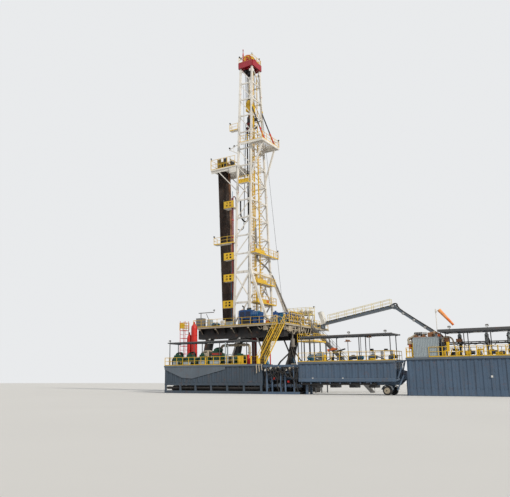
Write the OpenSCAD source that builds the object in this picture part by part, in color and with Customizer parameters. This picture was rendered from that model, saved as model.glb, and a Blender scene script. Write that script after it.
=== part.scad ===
// Land drilling rig at one tenth of real size, standing on level ground.
// Origin: centre of the well at ground level. +X runs from the pipe door to the hoisting winch,
// +Y runs away from the mud tanks and +Z is up.

/* [Mast] */
// Top of the mast legs above ground
mast_top = 5590; // [5400:10:5900]
// Half of the spacing between front and back legs, at the drill floor
mast_dx_floor = 142; // [135:1:160]
// The same half spacing at the crown
mast_dx_top = 115; // [112:1:140]
// Half of the spacing between near and far legs, at the drill floor
mast_dy_floor = 390; // [370:5:420]
// The same half spacing at the crown
mast_dy_top = 130; // [126:1:170]
// Width of the square leg section
leg_w = 30; // [24:1:34]
// Width of the horizontal girts between the legs
girt_w = 15; // [10:1:18]
// Width of the diagonal braces between the legs
brace_w = 12; // [8:1:14]
// Level where the regular bays begin
knee_z = 1900; // [1800:10:2000]
// Number of regular bays up to the crown
bays = 12; // [10:1:14]
// Level of the girt above the open foot of the mast
portal_z = 1400; // [1350:10:1500]
// Level of the extra girt between the portal and the knee, on the closed face
mid_girt_z = 1720; // [1600:10:1780]
// Width of the heavy knee brace and girt over the foot
knee_w = 28; // [18:1:29]
// Distance of the inclined back braces' feet behind the well
back_brace_x = 500; // [450:5:560]
// Thickness of the inclined back braces
back_brace_w = 34; // [20:1:38]

/* [Crown] */
// Height of the crown's box frame
crown_h = 110; // [100:2:140]
// How far the crown frame stands out past the leg centres
crown_out = 22; // [20:1:45]
// Depth of the crown's main beams
crown_beam = 26; // [22:1:36]
// Radius of the crown sheaves
crown_sheave_r = 65; // [50:1:75]
// Number of sheaves in the crown cluster
crown_sheaves_n = 6; // [5:1:7]
// Pitch of the sheaves along their axle
sheave_pitch = 24; // [22:1:26]
// Thickness of one sheave
sheave_t = 18; // [12:1:20]
// Radius of the sheave axle
sheave_axle_r = 12; // [8:1:16]
// Height of the sheave axle over the crown frame
axle_over = 22; // [16:1:40]
// Length of the signal pole on the crown
pole_h = 320; // [200:10:400]
// Radius of the signal pole
pole_r = 6; // [4:1:9]

/* [Hoist] */
// Centre height of the travelling block
block_z = 4890; // [4700:10:4950]
// Height of the travelling block
block_h = 200; // [150:5:220]
// Width of the travelling block across the sheaves
block_y = 150; // [140:2:170]
// Depth of the travelling block
block_x = 110; // [90:2:120]
// Radius of one drilling line
line_r = 2.5; // [1.5:0.5:3]
// Height of the top drive below the block's hook
top_drive_h = 420; // [360:10:460]
// Width of the top drive
top_drive_y = 96; // [80:2:110]
// Depth of the top drive
top_drive_x = 90; // [70:2:100]
// Distance from the well to the centre of the two guide rails
guide_x = 96; // [90:1:100]
// Half spacing of the two guide rails
guide_y = 62; // [56:1:66]
// Width of one guide rail
guide_w = 10; // [8:1:12]
// Running gap of the top drive's shoes at the guide rails
guide_gap = 5; // [5:0.5:8]

/* [Standpipe and hose] */
// Radius of each standpipe
standpipe_r = 8; // [6:1:10]
// Radius of the rotary hose
hose_r = 6; // [5:0.5:8]
// Radius of the bundle of service hoses
loop_r = 14; // [8:1:16]

/* [Drill floor] */
// Top of the drill floor above ground
floor_z = 1020; // [960:10:1080]
// Thickness of the floor plates
floor_t = 20; // [12:1:30]
// Front edge of the drill floor, from the well
floor_x0 = -800; // [-860:10:-760]
// Back edge of the drill floor, from the well
floor_x1 = 870; // [850:10:900]
// Near edge of the drill floor, from the well
floor_y0 = -600; // [-640:10:-590]
// Far edge of the drill floor, from the well
floor_y1 = 1000; // [900:10:1060]
// Radius of the rotary table's bore
rotary_r = 34.9; // [30:0.1:45]
// Side of the rotary table's square housing
rotary_side = 150; // [130:2:180]
// Height of the guard rails
rail_h = 115; // [100:1:125]
// Thickness of the guard rails
rail_t = 5; // [3:1:7]
// Pitch of the guard rails' posts
rail_pitch = 150; // [110:10:200]

/* [Substructure] */
// Height of the two base boxes
base_h = 120; // [100:5:150]
// Width of the two base boxes
base_w = 200; // [160:10:220]
// Distance of the base boxes' centres from the well
base_y = 450; // [420:5:480]
// Half length of the base boxes
base_half = 880; // [840:10:920]
// Depth of the two floor girders
girder_h = 170; // [140:5:190]
// Width of the swinging legs
sub_leg_w = 60; // [46:2:70]
// Horizontal lean of the swinging legs
sub_leg_lean = 170; // [100:10:220]
// Place of the front legs, at mid height
front_leg_x = -640; // [-660:5:-600]
// Place of the back legs, at mid height
back_leg_x = 420; // [380:5:460]
// Width of the two floor girders
girder_w = 140; // [110:10:180]

/* [Mud tanks] */
// Near face of the tank row, from the well
tank_y0 = -1500; // [-1540:10:-1480]
// Width of the tanks
tank_w = 300; // [260:10:320]
// Wall of the tanks
tank_wall = 8; // [5:1:10]
// Left end of the shaker tank
shaker_x0 = -660; // [-700:10:-620]
// Right end of the shaker tank
shaker_x1 = 970; // [950:10:990]
// Top of the shaker tank
shaker_top = 385; // [360:5:410]
// Left end of the middle tank
middle_x0 = 1510; // [1490:10:1530]
// Right end of the middle tank
middle_x1 = 2760; // [2700:10:2790]
// Top of the middle tank
middle_top = 400; // [380:5:420]
// Left end of the right tank
right_x0 = 2900; // [2880:10:2940]
// Right end of the right tank
right_x1 = 4100; // [3900:20:4200]
// Top of the right tank
right_top = 425; // [400:5:450]
// Height of the right tank's skid
skid_h = 60; // [40:5:80]
// Height of the shaker tank's open skid
shaker_skid_h = 110; // [90:5:130]
// Height of the middle tank's trailer frame
trailer_h = 155; // [150:5:170]
// Pitch of the posts of the tanks' guard rails
tank_rail_pitch = 110; // [90:5:150]
// Radius of the road wheels
wheel_r = 52; // [44:1:56]
// Pitch of the side ribs on the tanks
rib_pitch = 80; // [60:5:110]
// Thickness of the tank decks
deck_t = 6; // [4:1:10]
// Height of the canopy roofs above ground
canopy_z = 715; // [700:5:780]

/* [Hidden] */

eps = 0.2;
seat = 0.3;
front = -1;
back = 1;
near = -1;
far = 1;

cream = [0.86, 0.84, 0.78];
yellow = [0.88, 0.66, 0.12];
red = [0.78, 0.14, 0.08];
blue = [0.05, 0.22, 0.52];
dark = [0.13, 0.14, 0.15];
steel = [0.45, 0.47, 0.49];
slate = [0.30, 0.37, 0.44];

// Half spacings of the tapering mast at a height
function mast_t(z) = (z - floor_z) / (mast_top - floor_z);
function mast_dx(z) = mast_dx_floor + (mast_dx_top - mast_dx_floor) * mast_t(z);
function mast_dy(z) = mast_dy_floor + (mast_dy_top - mast_dy_floor) * mast_t(z);
function leg_at(sx, sy, z) = [sx * mast_dx(z), sy * mast_dy(z), z];
function bay_z(i) = knee_z + i * (mast_top - knee_z) / bays;
function face_x(z) = mast_dx(z) + leg_w / 2 + seat;
function face_y(z) = mast_dy(z) + leg_w / 2 + seat;

crown_axle_z = mast_top + crown_h + axle_over;
bearing_y = (crown_sheaves_n - 1) * sheave_pitch / 2 + sheave_t / 2 + 4 + 12;

// Straight member of rectangular section from a to b
module bar(a, b, w, d) {
  v = b - a;
  l = norm(v);
  translate(a) rotate([-asin(v.y / l), atan2(v.x, v.z), 0])
    translate([-w / 2, -d / 2, 0]) cube([w, d, l]);
}

// Straight round member from a to b
module rod(a, b, r, sides = 32) {
  v = b - a;
  l = norm(v);
  translate(a) rotate([-asin(v.y / l), atan2(v.x, v.z), 0]) cylinder(h = l, r = r, $fn = sides);
}

// Box between two corners
module box(a, b) {
  translate(a) cube(b - a);
}

// Flat guard rail of a length along +X, standing on z = 0 and centred on y = 0
module rail(len, h = rail_h, toe = 10, pitch = rail_pitch) {
  n = max(1, round(len / pitch));
  post = 5;
  bay = (len - post) / n;
  mid = toe + (h - toe) * 0.48;
  translate([0, rail_t / 2, 0]) rotate([90, 0, 0]) linear_extrude(rail_t) difference() {
    square([len, h]);
    for (i = [0 : n - 1]) {
      translate([post + i * bay, toe]) square([bay - post, mid - toe - 2]);
      translate([post + i * bay, mid + 2]) square([bay - post, h - mid - 7]);
    }
  }
}

// Guard rail from point a to point b on a level deck
module rail_to(a, b, h = rail_h, pitch = rail_pitch) {
  v = b - a;
  translate(a) rotate([0, 0, atan2(v.y, v.x)]) rail(norm(v), h, pitch = pitch);
}

// Guard rail that climbs along +X, with upright posts
module stair_rail(run, rise, h = rail_h) {
  n = max(1, round(run / rail_pitch));
  post = 5;
  bay = (run - post) / n;
  g = rise / run;
  mid = h * 0.5;
  translate([0, rail_t / 2, 0]) rotate([90, 0, 0]) linear_extrude(rail_t) difference() {
    polygon([[0, 0], [run, rise], [run, rise + h], [0, h]]);
    for (i = [0 : n - 1])
      for (w = [[10, mid - 2], [mid + 3, h - 6]])
        let (x0 = post + i * bay, x1 = i * bay + bay)
          polygon([[x0, x0 * g + w[0]], [x1, x1 * g + w[0]], [x1, x1 * g + w[1]],
            [x0, x0 * g + w[1]]]);
  }
}

// Flight of treads between two stringers, climbing along +X from z = 0
module flight(run, rise, w, depth = 26) {
  n = round(rise / 22);
  g = rise / run;
  for (y = [0, w - 6])
    translate([0, y + 6, 0]) rotate([90, 0, 0]) linear_extrude(6)
      polygon([[0, 0], [depth / g, 0], [run, rise - depth], [run, rise], [run - 1, rise]]);
  for (i = [1 : n - 1])
    translate([i * run / n - 6, 3, i * rise / n - 6]) cube([26, w - 6, 4]);
}

module mast_leg(sx, sy) {
  low = floor_z - 40;
  high = mast_top + 40;
  bar(leg_at(sx, sy, low), leg_at(sx, sy, high), leg_w, leg_w);
}

module mast_legs() {
  for (sx = [front, back], sy = [near, far]) mast_leg(sx, sy);
}

module between_floor_and_crown() {
  intersection() {
    children();
    box([-900, -900, floor_z], [900, 900, mast_top]);
  }
}

// One flat side of the mast: two legs, girts and single diagonals
module mast_side(sy) {
  between_floor_and_crown() {
    union() {
      for (sx = [front, back]) mast_leg(sx, sy);
      for (i = [0 : bays - 1])
        bar(leg_at(front, sy, bay_z(i)), leg_at(back, sy, bay_z(i)), girt_w, girt_w);
      for (i = [0 : bays - 1])
        bar(leg_at(i < 5 ? back : front, sy, bay_z(i + 1)),
          leg_at(i < 5 ? front : back, sy, bay_z(i)), brace_w, brace_w);
      bar(leg_at(front, sy, portal_z), leg_at(back, sy, portal_z), knee_w, knee_w);
      bar(leg_at(front, sy, portal_z + 20), leg_at(back, sy, knee_z), knee_w - 4, knee_w - 4);
    }
  }
}

// Near side, with the clamp that holds the service hoses
module mast_near_side() {
  color(cream) {
    mast_side(near);
    y = -mast_dy(bay_z(4)) + girt_w / 2 - 2;
    box([loop_end.x - loop_r - 4, y, loop_end.z + seat],
      [loop_end.x + loop_r + 4, loop_end.y + loop_r + 2, loop_end.z + 12]);
    box([loop_end.x - loop_r - 4, y, bay_z(4) - 4], [loop_end.x + loop_r + 4, y + 10, loop_end.z + 12]);
  }
}
module mast_far_side() { color(cream) mast_side(far); }

// Closed face of the mast behind the well, cut to the faces of the legs
module mast_back() {
  color(cream) between_floor_and_crown() {
    difference() {
      union() {
        for (i = [0 : bays - 1]) {
          bar(leg_at(back, near, bay_z(i)), leg_at(back, far, bay_z(i)), girt_w, girt_w);
          bar(leg_at(back, i % 2 == 0 ? near : far, bay_z(i)),
            leg_at(back, i % 2 == 0 ? far : near, bay_z(i + 1)), brace_w, brace_w);
        }
        for (z = [portal_z, mid_girt_z])
          bar(leg_at(back, near, z), leg_at(back, far, z), knee_w, knee_w);
        for (sy = [near, far])
          bar(leg_at(back, sy, portal_z), [mast_dx(knee_z), 0, knee_z], brace_w, brace_w);
      }
      mast_leg(back, near);
      mast_leg(back, far);
    }
  }
}

// Box frame on the leg tops, with inner beams and bearing blocks beside the sheaves
module crown_frame() {
  x = mast_dx_top + crown_out;
  y = mast_dy_top + crown_out;
  z = mast_top + crown_h;
  color(red) difference() {
    union() {
      for (sy = [near, far]) {
        box([-x, sy * y - crown_beam / 2, mast_top], [x, sy * y + crown_beam / 2, z]);
        box([-x, sy * bearing_y - 12, mast_top], [x, sy * bearing_y + 12, z]);
        box([-32, sy * bearing_y - 12, z - 1], [32, sy * bearing_y + 12, crown_axle_z + 18]);
      }
      for (sx = [front, back])
        box([sx * x - crown_beam / 2, -y, mast_top], [sx * x + crown_beam / 2, y, z]);
      for (sx = [front, back], sy = [near, far])
        box([sx * mast_dx_top - 22, sy * mast_dy_top - 22, mast_top],
          [sx * mast_dx_top + 22, sy * mast_dy_top + 22, mast_top + 12]);
    }
    translate([0, bearing_y + 40, crown_axle_z]) rotate([90, 0, 0])
      cylinder(h = 2 * bearing_y + 80, r = sheave_axle_r, $fn = 48);
  }
}

// Sheave cluster on its axle, with a grooved rim on each sheave
module crown_sheaves() {
  w = (crown_sheaves_n - 1) * sheave_pitch;
  color(yellow) translate([0, 0, crown_axle_z]) rotate([90, 0, 0]) {
    cylinder(h = 2 * bearing_y + 36, r = sheave_axle_r, center = true, $fn = 48);
    for (i = [0 : crown_sheaves_n - 1])
      translate([0, 0, i * sheave_pitch - w / 2]) rotate_extrude($fn = 64) difference() {
        translate([sheave_axle_r - 1, -sheave_t / 2])
          square([crown_sheave_r - sheave_axle_r + 1, sheave_t]);
        translate([crown_sheave_r + 1, 0]) circle(r = line_r * 2, $fn = 24);
      }
  }
}

module crown_rails() {
  x = mast_dx_top + crown_out;
  y = mast_dy_top + crown_out;
  z = mast_top + crown_h;
  color(yellow) {
    for (sy = [near, far]) rail_to([-x, sy * y, z], [x - 6, sy * y, z], 100);
    rail_to([x, -y, z], [x, y, z], 100);
  }
}

module signal_pole() {
  x = -mast_dx_top - crown_out;
  color(red) translate([x, 0, mast_top + crown_h]) {
    cylinder(h = 10, r = 14, $fn = 32);
    cylinder(h = pole_h, r = pole_r, $fn = 32);
    translate([0, 0, pole_h]) cylinder(h = 22, r = 9, $fn = 32);
  }
}

// Two inclined braces from the back legs down to feet on the drill floor
module back_braces() {
  top = knee_z + 60;
  out = (back_brace_w - leg_w) / 2 + 2;
  color(cream) intersection() {
    difference() {
      for (sy = [near, far]) {
        bar([mast_dx(top), sy * (mast_dy(top) + out), top], [back_brace_x, sy * (mast_dy_floor + out), floor_z - 20],
          back_brace_w, back_brace_w);
        box([back_brace_x - 35, sy * (mast_dy_floor + out) - 22, floor_z],
          [back_brace_x + 25, sy * (mast_dy_floor + out) + 22, floor_z + 30]);
      }
      mast_leg(back, near);
      mast_leg(back, far);
    }
    box([mast_dx_top, -900, floor_z], [900, 900, mast_top]);
  }
}

board_z = 3780;
board_x0 = -680;
board_y = 250;
board_t = 18;
stand_x = -470;
stand_top = 3960;
stand_lean = 1.8;
stand_w = 150;
stand_d = 190;

// Derrickman's board: side walkways, a window for the stands and fingers across it
module racking_board() {
  x1 = -face_x(board_z - board_t);
  xs = stand_x - (board_z - floor_z) * tan(stand_lean);
  color(yellow) difference() {
    union() {
      box([board_x0, -board_y, board_z - board_t], [x1, board_y, board_z]);
      for (sy = [near, far])
        box([board_x0, sy * (mast_dy(board_z) - 10) - 8, board_z - 60],
          [x1, sy * (mast_dy(board_z) - 10) + 8, board_z - board_t]);
    }
    box([xs - stand_w / 2 - 14, -stand_d / 2 - 12, board_z - 70],
      [xs + stand_w / 2 + 12, stand_d / 2 + 12, board_z + 1]);
    for (i = [0 : 3])
      box([-360 + i * 44, -190, board_z - 70], [-336 + i * 44, 190, board_z + 1]);
  }
}

module racking_board_rails() {
  x1 = -face_x(board_z) - 40;
  color(yellow) {
    for (sy = [near, far]) rail_to([board_x0 + 6, sy * (board_y - 3), board_z], [x1, sy * (board_y - 3), board_z], 180);
    rail_to([board_x0 + 3, -board_y, board_z], [board_x0 + 3, board_y, board_z], 180);
  }
}

// Stands of pipe set back upright in one leaning bundle
module racked_stands() {
  r = 9;
  color([0.22, 0.15, 0.12]) intersection() {
    translate([stand_x, 0, floor_z - 20]) rotate([0, -stand_lean, 0]) linear_extrude(3200) {
      square([stand_w - 2 * r, stand_d - 2 * r], center = true);
      for (i = [0 : 7], s = [-1, 1])
        translate([(i - 3.5) * (stand_w - 2 * r) / 7.2, s * (stand_d / 2 - r)]) circle(r = r, $fn = 24);
      for (i = [0 : 8], s = [-1, 1])
        translate([s * (stand_w / 2 - r), (i - 4) * (stand_d - 2 * r) / 8.2]) circle(r = r, $fn = 24);
    }
    box([-900, -300, floor_z], [0, 300, stand_top]);
  }
}

upper_z = 4140;
upper_x0 = -40;
upper_x1 = 390;
upper_y = 300;

// Walkway that wraps the near, back and far sides of the mast below the crown
module upper_platform() {
  x_in = face_x(upper_z - 40);
  y_in = face_y(upper_z - 40);
  color(cream) difference() {
    union() {
      box([upper_x0, -upper_y, upper_z - 12], [upper_x1, upper_y, upper_z]);
      for (sy = [near, far]) box([upper_x0, sy * (upper_y - 10) - 8, upper_z - 40],
        [upper_x1, sy * (upper_y - 10) + 8, upper_z - 12]);
      box([upper_x1 - 16, -upper_y, upper_z - 40], [upper_x1, upper_y, upper_z - 12]);
      for (sy = [near, far]) box([x_in, sy * mast_dy(upper_z) - 8, upper_z - 40],
        [upper_x1, sy * mast_dy(upper_z) + 8, upper_z - 12]);
    }
    box([upper_x0 - 1, -y_in, upper_z - 50], [x_in, y_in, upper_z + 1]);
    box([x_in + 20, -110, upper_z - 50], [upper_x1 - 70, 110, upper_z + 1]);
  }
}

module upper_platform_rails() {
  z = upper_z;
  color(yellow) {
    for (sy = [near, far]) rail_to([upper_x0, sy * (upper_y - 3), z], [upper_x1 - 6, sy * (upper_y - 3), z]);
    rail_to([upper_x1 - 3, -upper_y, z], [upper_x1 - 3, upper_y, z]);
  }
}

board_strut_z = 3300;

// Props under the upper platform and the racking board, and ties above them
module platform_struts() {
  low = 3540;
  high = 4820;
  color(cream) difference() {
    for (sy = [near, far]) {
      bar([mast_dx(low), sy * mast_dy(low), low],
        [upper_x1 - 40, sy * mast_dy(upper_z), upper_z - 12 - seat], 26, 22);
      rod([mast_dx(high), sy * mast_dy(high), high], [upper_x1 - 24, sy * mast_dy(high), upper_z], 6);
      rod(tie_at(sy, high, 0.66), [upper_x1 - 24, sy * mast_dy(high), upper_z], 9);
      bar([-mast_dx(board_strut_z), sy * mast_dy(board_strut_z), board_strut_z],
        [-520, sy * (mast_dy(board_z) - 10), board_z - 60 - seat], 14, 14);
    }
    mast_legs();
    box([-900, -900, board_z - 60 - seat], [-100, 900, board_z + 200]);
    box([0, -900, upper_z - 40 - seat], [900, 900, upper_z]);
  }
}

// Point on a tie over the upper platform, as a share of its length
function tie_at(sy, high, t) = [mast_dx(high) + t * (upper_x1 - 24 - mast_dx(high)), sy * mast_dy(high),
  high + t * (upper_z - high)];

// Level, reach and width of each landing at the front legs, with the lookout basket on top
landings = [[1330, 200, 80], [1765, 200, 80], [2125, 200, 80], [2410, 400, 80],
  [3010, 200, 70], [4440, 170, 80]];

// Ladder landings outside the near front leg, each with a yellow guard box
module ladder_landings() {
  color(yellow) for (d = landings) {
    z = d[0];
    x = -face_x(z - 6);
    y = z > standpipe_top ? -mast_dy(z) - 15 : min(-mast_dy(z) - 15, standpipe_y[0] - 25);
    y1 = -mast_dy(z) + d[2] - 15;
    difference() {
      box([x - d[1], y, z - 6], [x, y1, z]);
      for (py = standpipe_y) translate([standpipe_x, py, z - 10])
        cylinder(h = 20, r = standpipe_r + 3, $fn = 32);
    }
    rail_to([x - d[1], y + 3, z + seat], [x - 3, y + 3, z + seat]);
    translate([x - d[1] + 2.5, y + 6, z + seat]) rotate([0, 0, 90]) rail(y1 - y - 6);
  }
  color(yellow) {
    z = perch_z;
    y = -face_y(z - 6);
    box([perch_x0, y - 70, z - 6], [perch_x1, y, z]);
    rail_to([perch_x0, y - 67, z + seat], [perch_x1, y - 67, z + seat], pitch = 60);
    for (x = [perch_x0 + 2.5, perch_x1 - 2.5])
      translate([x, y - 64, z + seat]) rotate([0, 0, 90]) rail(60);
  }
}

// Level and ends of the perch on the near side
perch_z = 3410;
perch_x0 = -60;
perch_x1 = 130;

ladder_x = 96;
ladder_y = -104;

// Caged ladder up the inside of the closed face, held at each girt
module mast_ladder() {
  z1 = mast_top - 60;
  color(yellow) {
    for (y = [ladder_y - 20, ladder_y + 20])
      box([ladder_x - 3, y - 3, floor_z], [ladder_x + 3, y + 3, z1]);
    for (z = [floor_z + 60 : 60 : z1 - 20])
      box([ladder_x - 2, ladder_y - 20, z], [ladder_x + 2, ladder_y + 20, z + 4]);
    for (i = [0 : bays - 1])
      box([ladder_x, ladder_y - 22, bay_z(i) - 3], [mast_dx(bay_z(i)) - girt_w / 2 - eps, ladder_y - 14, bay_z(i) + 3]);
  }
}

// Level, near reach and far reach of each deck behind the mast
back_decks = [[bay_z(1), 340, 440], [mid_girt_z, 300, 300], [portal_z, 320, 320]];
back_deck_x = 100;

// Walkways with guard rails behind the closed face, on lugs from its girts
module back_platforms() {
  color(yellow) for (d = back_decks) {
    z = d[0];
    girt = z == bay_z(1) ? girt_w : knee_w;
    x = face_x(z - 20);
    box([x, -d[1], z - 10], [x + back_deck_x, d[2], z]);
    for (y = [-180, 180])
      box([mast_dx(z - 20) + girt / 2 + seat, y - 8, z - 18], [x + back_deck_x, y + 8, z - 5]);
    translate([x + back_deck_x - 3, -d[1], z + seat]) rotate([0, 0, 90]) rail(d[1] + d[2], pitch = 90);
    for (y = [-d[1] + 3, d[2] - 3]) translate([x + 10, y, z + seat]) rail(back_deck_x - 16);
  }
}

standpipe_x = -196;
standpipe_y = [-330, -296];
standpipe_top = 3220;

// Two mud risers beside the front leg, the farther with a gooseneck for the hose
gooseneck_r = 45;
module standpipes() {
  top = standpipe_top - gooseneck_r;
  color(red) {
    for (y = standpipe_y) translate([standpipe_x, y, floor_z]) {
      cylinder(h = 12, r = standpipe_r + 6, $fn = 32);
      cylinder(h = top - floor_z, r = standpipe_r, $fn = 32);
    }
    translate([standpipe_x, standpipe_y[0], top - 60]) rotate([-90, 0, 0])
      cylinder(h = standpipe_y[1] - standpipe_y[0], r = standpipe_r - 1, $fn = 32);
    translate([standpipe_x, standpipe_y[1] + gooseneck_r, top]) rotate([90, 0, 90])
      rotate_extrude(angle = 180, $fn = 64) translate([gooseneck_r, 0]) circle(r = standpipe_r, $fn = 32);
  }
}

// Two rails that the top drive's shoes run on, with a bracket at each girt
module guide_rails() {
  z0 = floor_z + 160;
  z1 = mast_top - 100;
  color(yellow) for (sy = [near, far]) {
    box([guide_x - guide_w / 2, sy * guide_y - guide_w / 2, z0],
      [guide_x + guide_w / 2, sy * guide_y + guide_w / 2, z1]);
    for (i = [0 : bays - 1])
      box([guide_x, sy * guide_y - 4, bay_z(i) - 4],
        [mast_dx(bay_z(i)) - girt_w / 2 - eps, sy * guide_y + 4, bay_z(i) + 4]);
  }
}

// Travelling block: side plates round the sheaves, cap and hook shank
module travelling_block() {
  n = crown_sheaves_n - 1;
  color(yellow) translate([0, 0, block_z]) {
    for (sy = [near, far])
      translate([0, sy * (block_y / 2 - 7) + 7, 0]) rotate([90, 0, 0]) linear_extrude(14) hull() {
        translate([0, block_h / 2 - 45]) circle(r = 45, $fn = 48);
        translate([-block_x / 2, -block_h / 2]) square([block_x, 20]);
      }
    box([-30, -block_y / 2, -block_h / 2], [30, block_y / 2, -block_h / 2 + 14]);
    box([-30, -block_y / 2, block_h / 2 - 14], [30, block_y / 2, block_h / 2]);
    rotate([90, 0, 0]) rotate_extrude($fn = 64) difference() {
      translate([0, -n * sheave_pitch / 2]) square([crown_sheave_r, n * sheave_pitch]);
      for (i = [0 : n - 1])
        translate([crown_sheave_r + 1, (i - (n - 1) / 2) * sheave_pitch]) circle(r = line_r * 2, $fn = 24);
    }
    rotate([90, 0, 0]) cylinder(h = block_y - 10, r = sheave_axle_r, center = true, $fn = 48);
    translate([0, 0, -block_h / 2 - 50]) cylinder(h = 52, r = 20, $fn = 32);
  }
}

top_drive_z1 = block_z - block_h / 2 - 50;
top_drive_z0 = top_drive_z1 - top_drive_h;
inlet = [-80, -36, top_drive_z0 + 244];
hose_out = [standpipe_x, standpipe_y[1] + 2 * gooseneck_r, standpipe_top - gooseneck_r - 1];
loop_top = [-86, 20, top_drive_z0 + 190];
loop_end = [-86, -235, bay_z(4) + 12];

hose_pts = [hose_out, [-196, -206, 3050], [-196, -206, 2900], [-196, -206, 2800], [-196, -206, 2727],
  [-193, -201, 2700], [-185, -188, 2676], [-172, -168, 2660], [-157, -145, 2655], [-142, -122, 2660],
  [-129, -102, 2676], [-121, -89, 2700], [-118, -84, 2727], [-115, -80, 2860], [-109, -73, 3160],
  [-103, -65, 3460], [-96, -57, 3760], [-90, -49, 4060], [-85, -43, 4280],
  [inlet.x, inlet.y, inlet.z - 140], inlet];
loop_pts = [loop_top, [-86, 20, 4350], [-86, 20, 4000], [-86, 20, 3600], [-86, 20, 3200], [-86, 20, 3020],
  [-86, 20, 2928], [-86, 10, 2879], [-86, -17, 2837], [-86, -59, 2810], [-86, -107, 2800], [-86, -156, 2810],
  [-86, -198, 2837], [-86, -225, 2879], [-86, -235, 2928], [-86, -235, 3020], loop_end];

// Top drive: motor housing, bail, gooseneck, carriage with shoes and quill
module top_drive() {
  z1 = top_drive_z1;
  z0 = top_drive_z0;
  color(dark) {
    box([-34, -34, z1 - 60], [34, 34, z1]);
    box([loop_top.x - loop_r - 2, loop_top.y - loop_r, loop_top.z + seat],
      [-top_drive_x / 2 + 1, loop_top.y + loop_r, loop_top.z + 24]);
    box([-top_drive_x / 2, -top_drive_y / 2, z0 + 150], [top_drive_x / 2, top_drive_y / 2, z1 - 50]);
    translate([0, 0, z0 + 60]) cylinder(h = 100, r = 30, $fn = 48);
    translate([0, 0, z0]) cylinder(h = 70, r = 9, $fn = 32);
    for (z = [z0 + 170, z1 - 110])
      box([top_drive_x / 2 - 2, -guide_y - guide_w / 2, z],
        [guide_x - guide_w / 2 - guide_gap, guide_y + guide_w / 2, z + 40]);
    translate([inlet.x, inlet.y, inlet.z + seat]) {
      translate([20, 0, 0]) rotate([90, 0, 0]) rotate([0, 0, 90]) rotate_extrude(angle = 90, $fn = 64)
        translate([20, 0]) circle(r = hose_r + 2, $fn = 32);
      translate([20, 0, 20]) rotate([0, 90, 0])
        cylinder(h = -inlet.x - 20 - top_drive_x / 2 + 10, r = hose_r + 2, $fn = 32);
    }
  }
}

line_x = crown_sheave_r + line_r + seat + 1 - 2 * line_r;

// Falls of wire from the crown sheaves to the block's sheaves
module drilling_lines() {
  color(steel) for (sx = [-1, 1], i = [0 : crown_sheaves_n - 2])
    rod([sx * line_x, (i - (crown_sheaves_n - 2) / 2) * sheave_pitch, block_z],
      [sx * line_x, (i - (crown_sheaves_n - 2) / 2) * sheave_pitch + sheave_pitch / 2 * sx, crown_axle_z],
      line_r, 8);
}

drum_r = 62;
drum_x = 600;
drum_z = floor_z + 100;
fast_x0 = mast_dx_top + crown_out;
fast_a = atan2(drum_x - fast_x0, mast_top - drum_z)
  - asin((drum_r + line_r + seat) / norm([drum_x - fast_x0, mast_top - drum_z]));

// Fast line from the crown down to the winch drum, taut
module fast_line() {
  off = drum_r + line_r + seat;
  color(dark) rod([fast_x0, 30, mast_top - seat],
    [drum_x - off * cos(fast_a), 30, drum_z - off * sin(fast_a)], line_r, 8);
}

// Rotary hose: a tube swept through its route, hanging in one loop
function unit(v) = v / norm(v);
function tangent(p, i) =
  unit(p[min(i + 1, len(p) - 1)] - p[max(i - 1, 0)]);
function hose_curve(p) = [for (i = [0 : len(p) - 2], k = [0 : 1])
  let (a = p[max(i - 1, 0)], b = p[i], c = p[i + 1], d = p[min(i + 2, len(p) - 1)], t = k / 2)
    0.5 * (2 * b + (c - a) * t + (2 * a - 5 * b + 4 * c - d) * t * t
      + (3 * b - a - 3 * c + d) * t * t * t), p[len(p) - 1]];
module tube(p, r, sides) {
  rings = [for (i = [0 : len(p) - 1])
    let (t = tangent(p, i), u = unit(cross(t, [0, 1, 0.01])), v = cross(t, u))
      for (k = [0 : sides - 1]) p[i] + r * (cos(360 * k / sides) * u + sin(360 * k / sides) * v)];
  n = len(p);
  faces = concat([[for (k = [0 : sides - 1]) k]],
    [for (i = [0 : n - 2], k = [0 : sides - 1])
      [i * sides + k, (i + 1) * sides + k, (i + 1) * sides + (k + 1) % sides, i * sides + (k + 1) % sides]],
    [[for (k = [sides - 1 : -1 : 0]) (n - 1) * sides + k]]);
  polyhedron(rings, faces);
}

module rotary_hose() { color(dark) tube(hose_curve(hose_pts), hose_r, 8); }

// Bundle of service hoses from the top drive to a clamp on the near side
module service_loop() { color(dark) tube(hose_curve(loop_pts), loop_r, 8); }

// Two skid boxes on the ground with end pads
module base_boxes() {
  color(dark) for (sy = [near, far]) {
    box([-base_half, sy * base_y - base_w / 2, 0], [base_half, sy * base_y + base_w / 2, base_h]);
    for (x = [-base_half - 20, base_half]) translate([x, sy * base_y - base_w / 2 + 20, 20])
      cube([20, base_w - 40, base_h - 40]);
  }
}

girder_bottom = floor_z - floor_t - girder_h;

// Parallel leaning legs between the base boxes and the floor girders
module swing_legs() {
  color(dark) intersection() {
    for (sy = [near, far], x = [front_leg_x, back_leg_x], dy = [-1, 1])
      bar([x - sub_leg_lean / 2, sy * base_y + dy * 60, base_h - 20],
        [x + sub_leg_lean / 2, sy * base_y + dy * 60, girder_bottom + 20], sub_leg_w, 40);
    box([-1200, -900, base_h], [1200, 900, girder_bottom]);
  }
}

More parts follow.
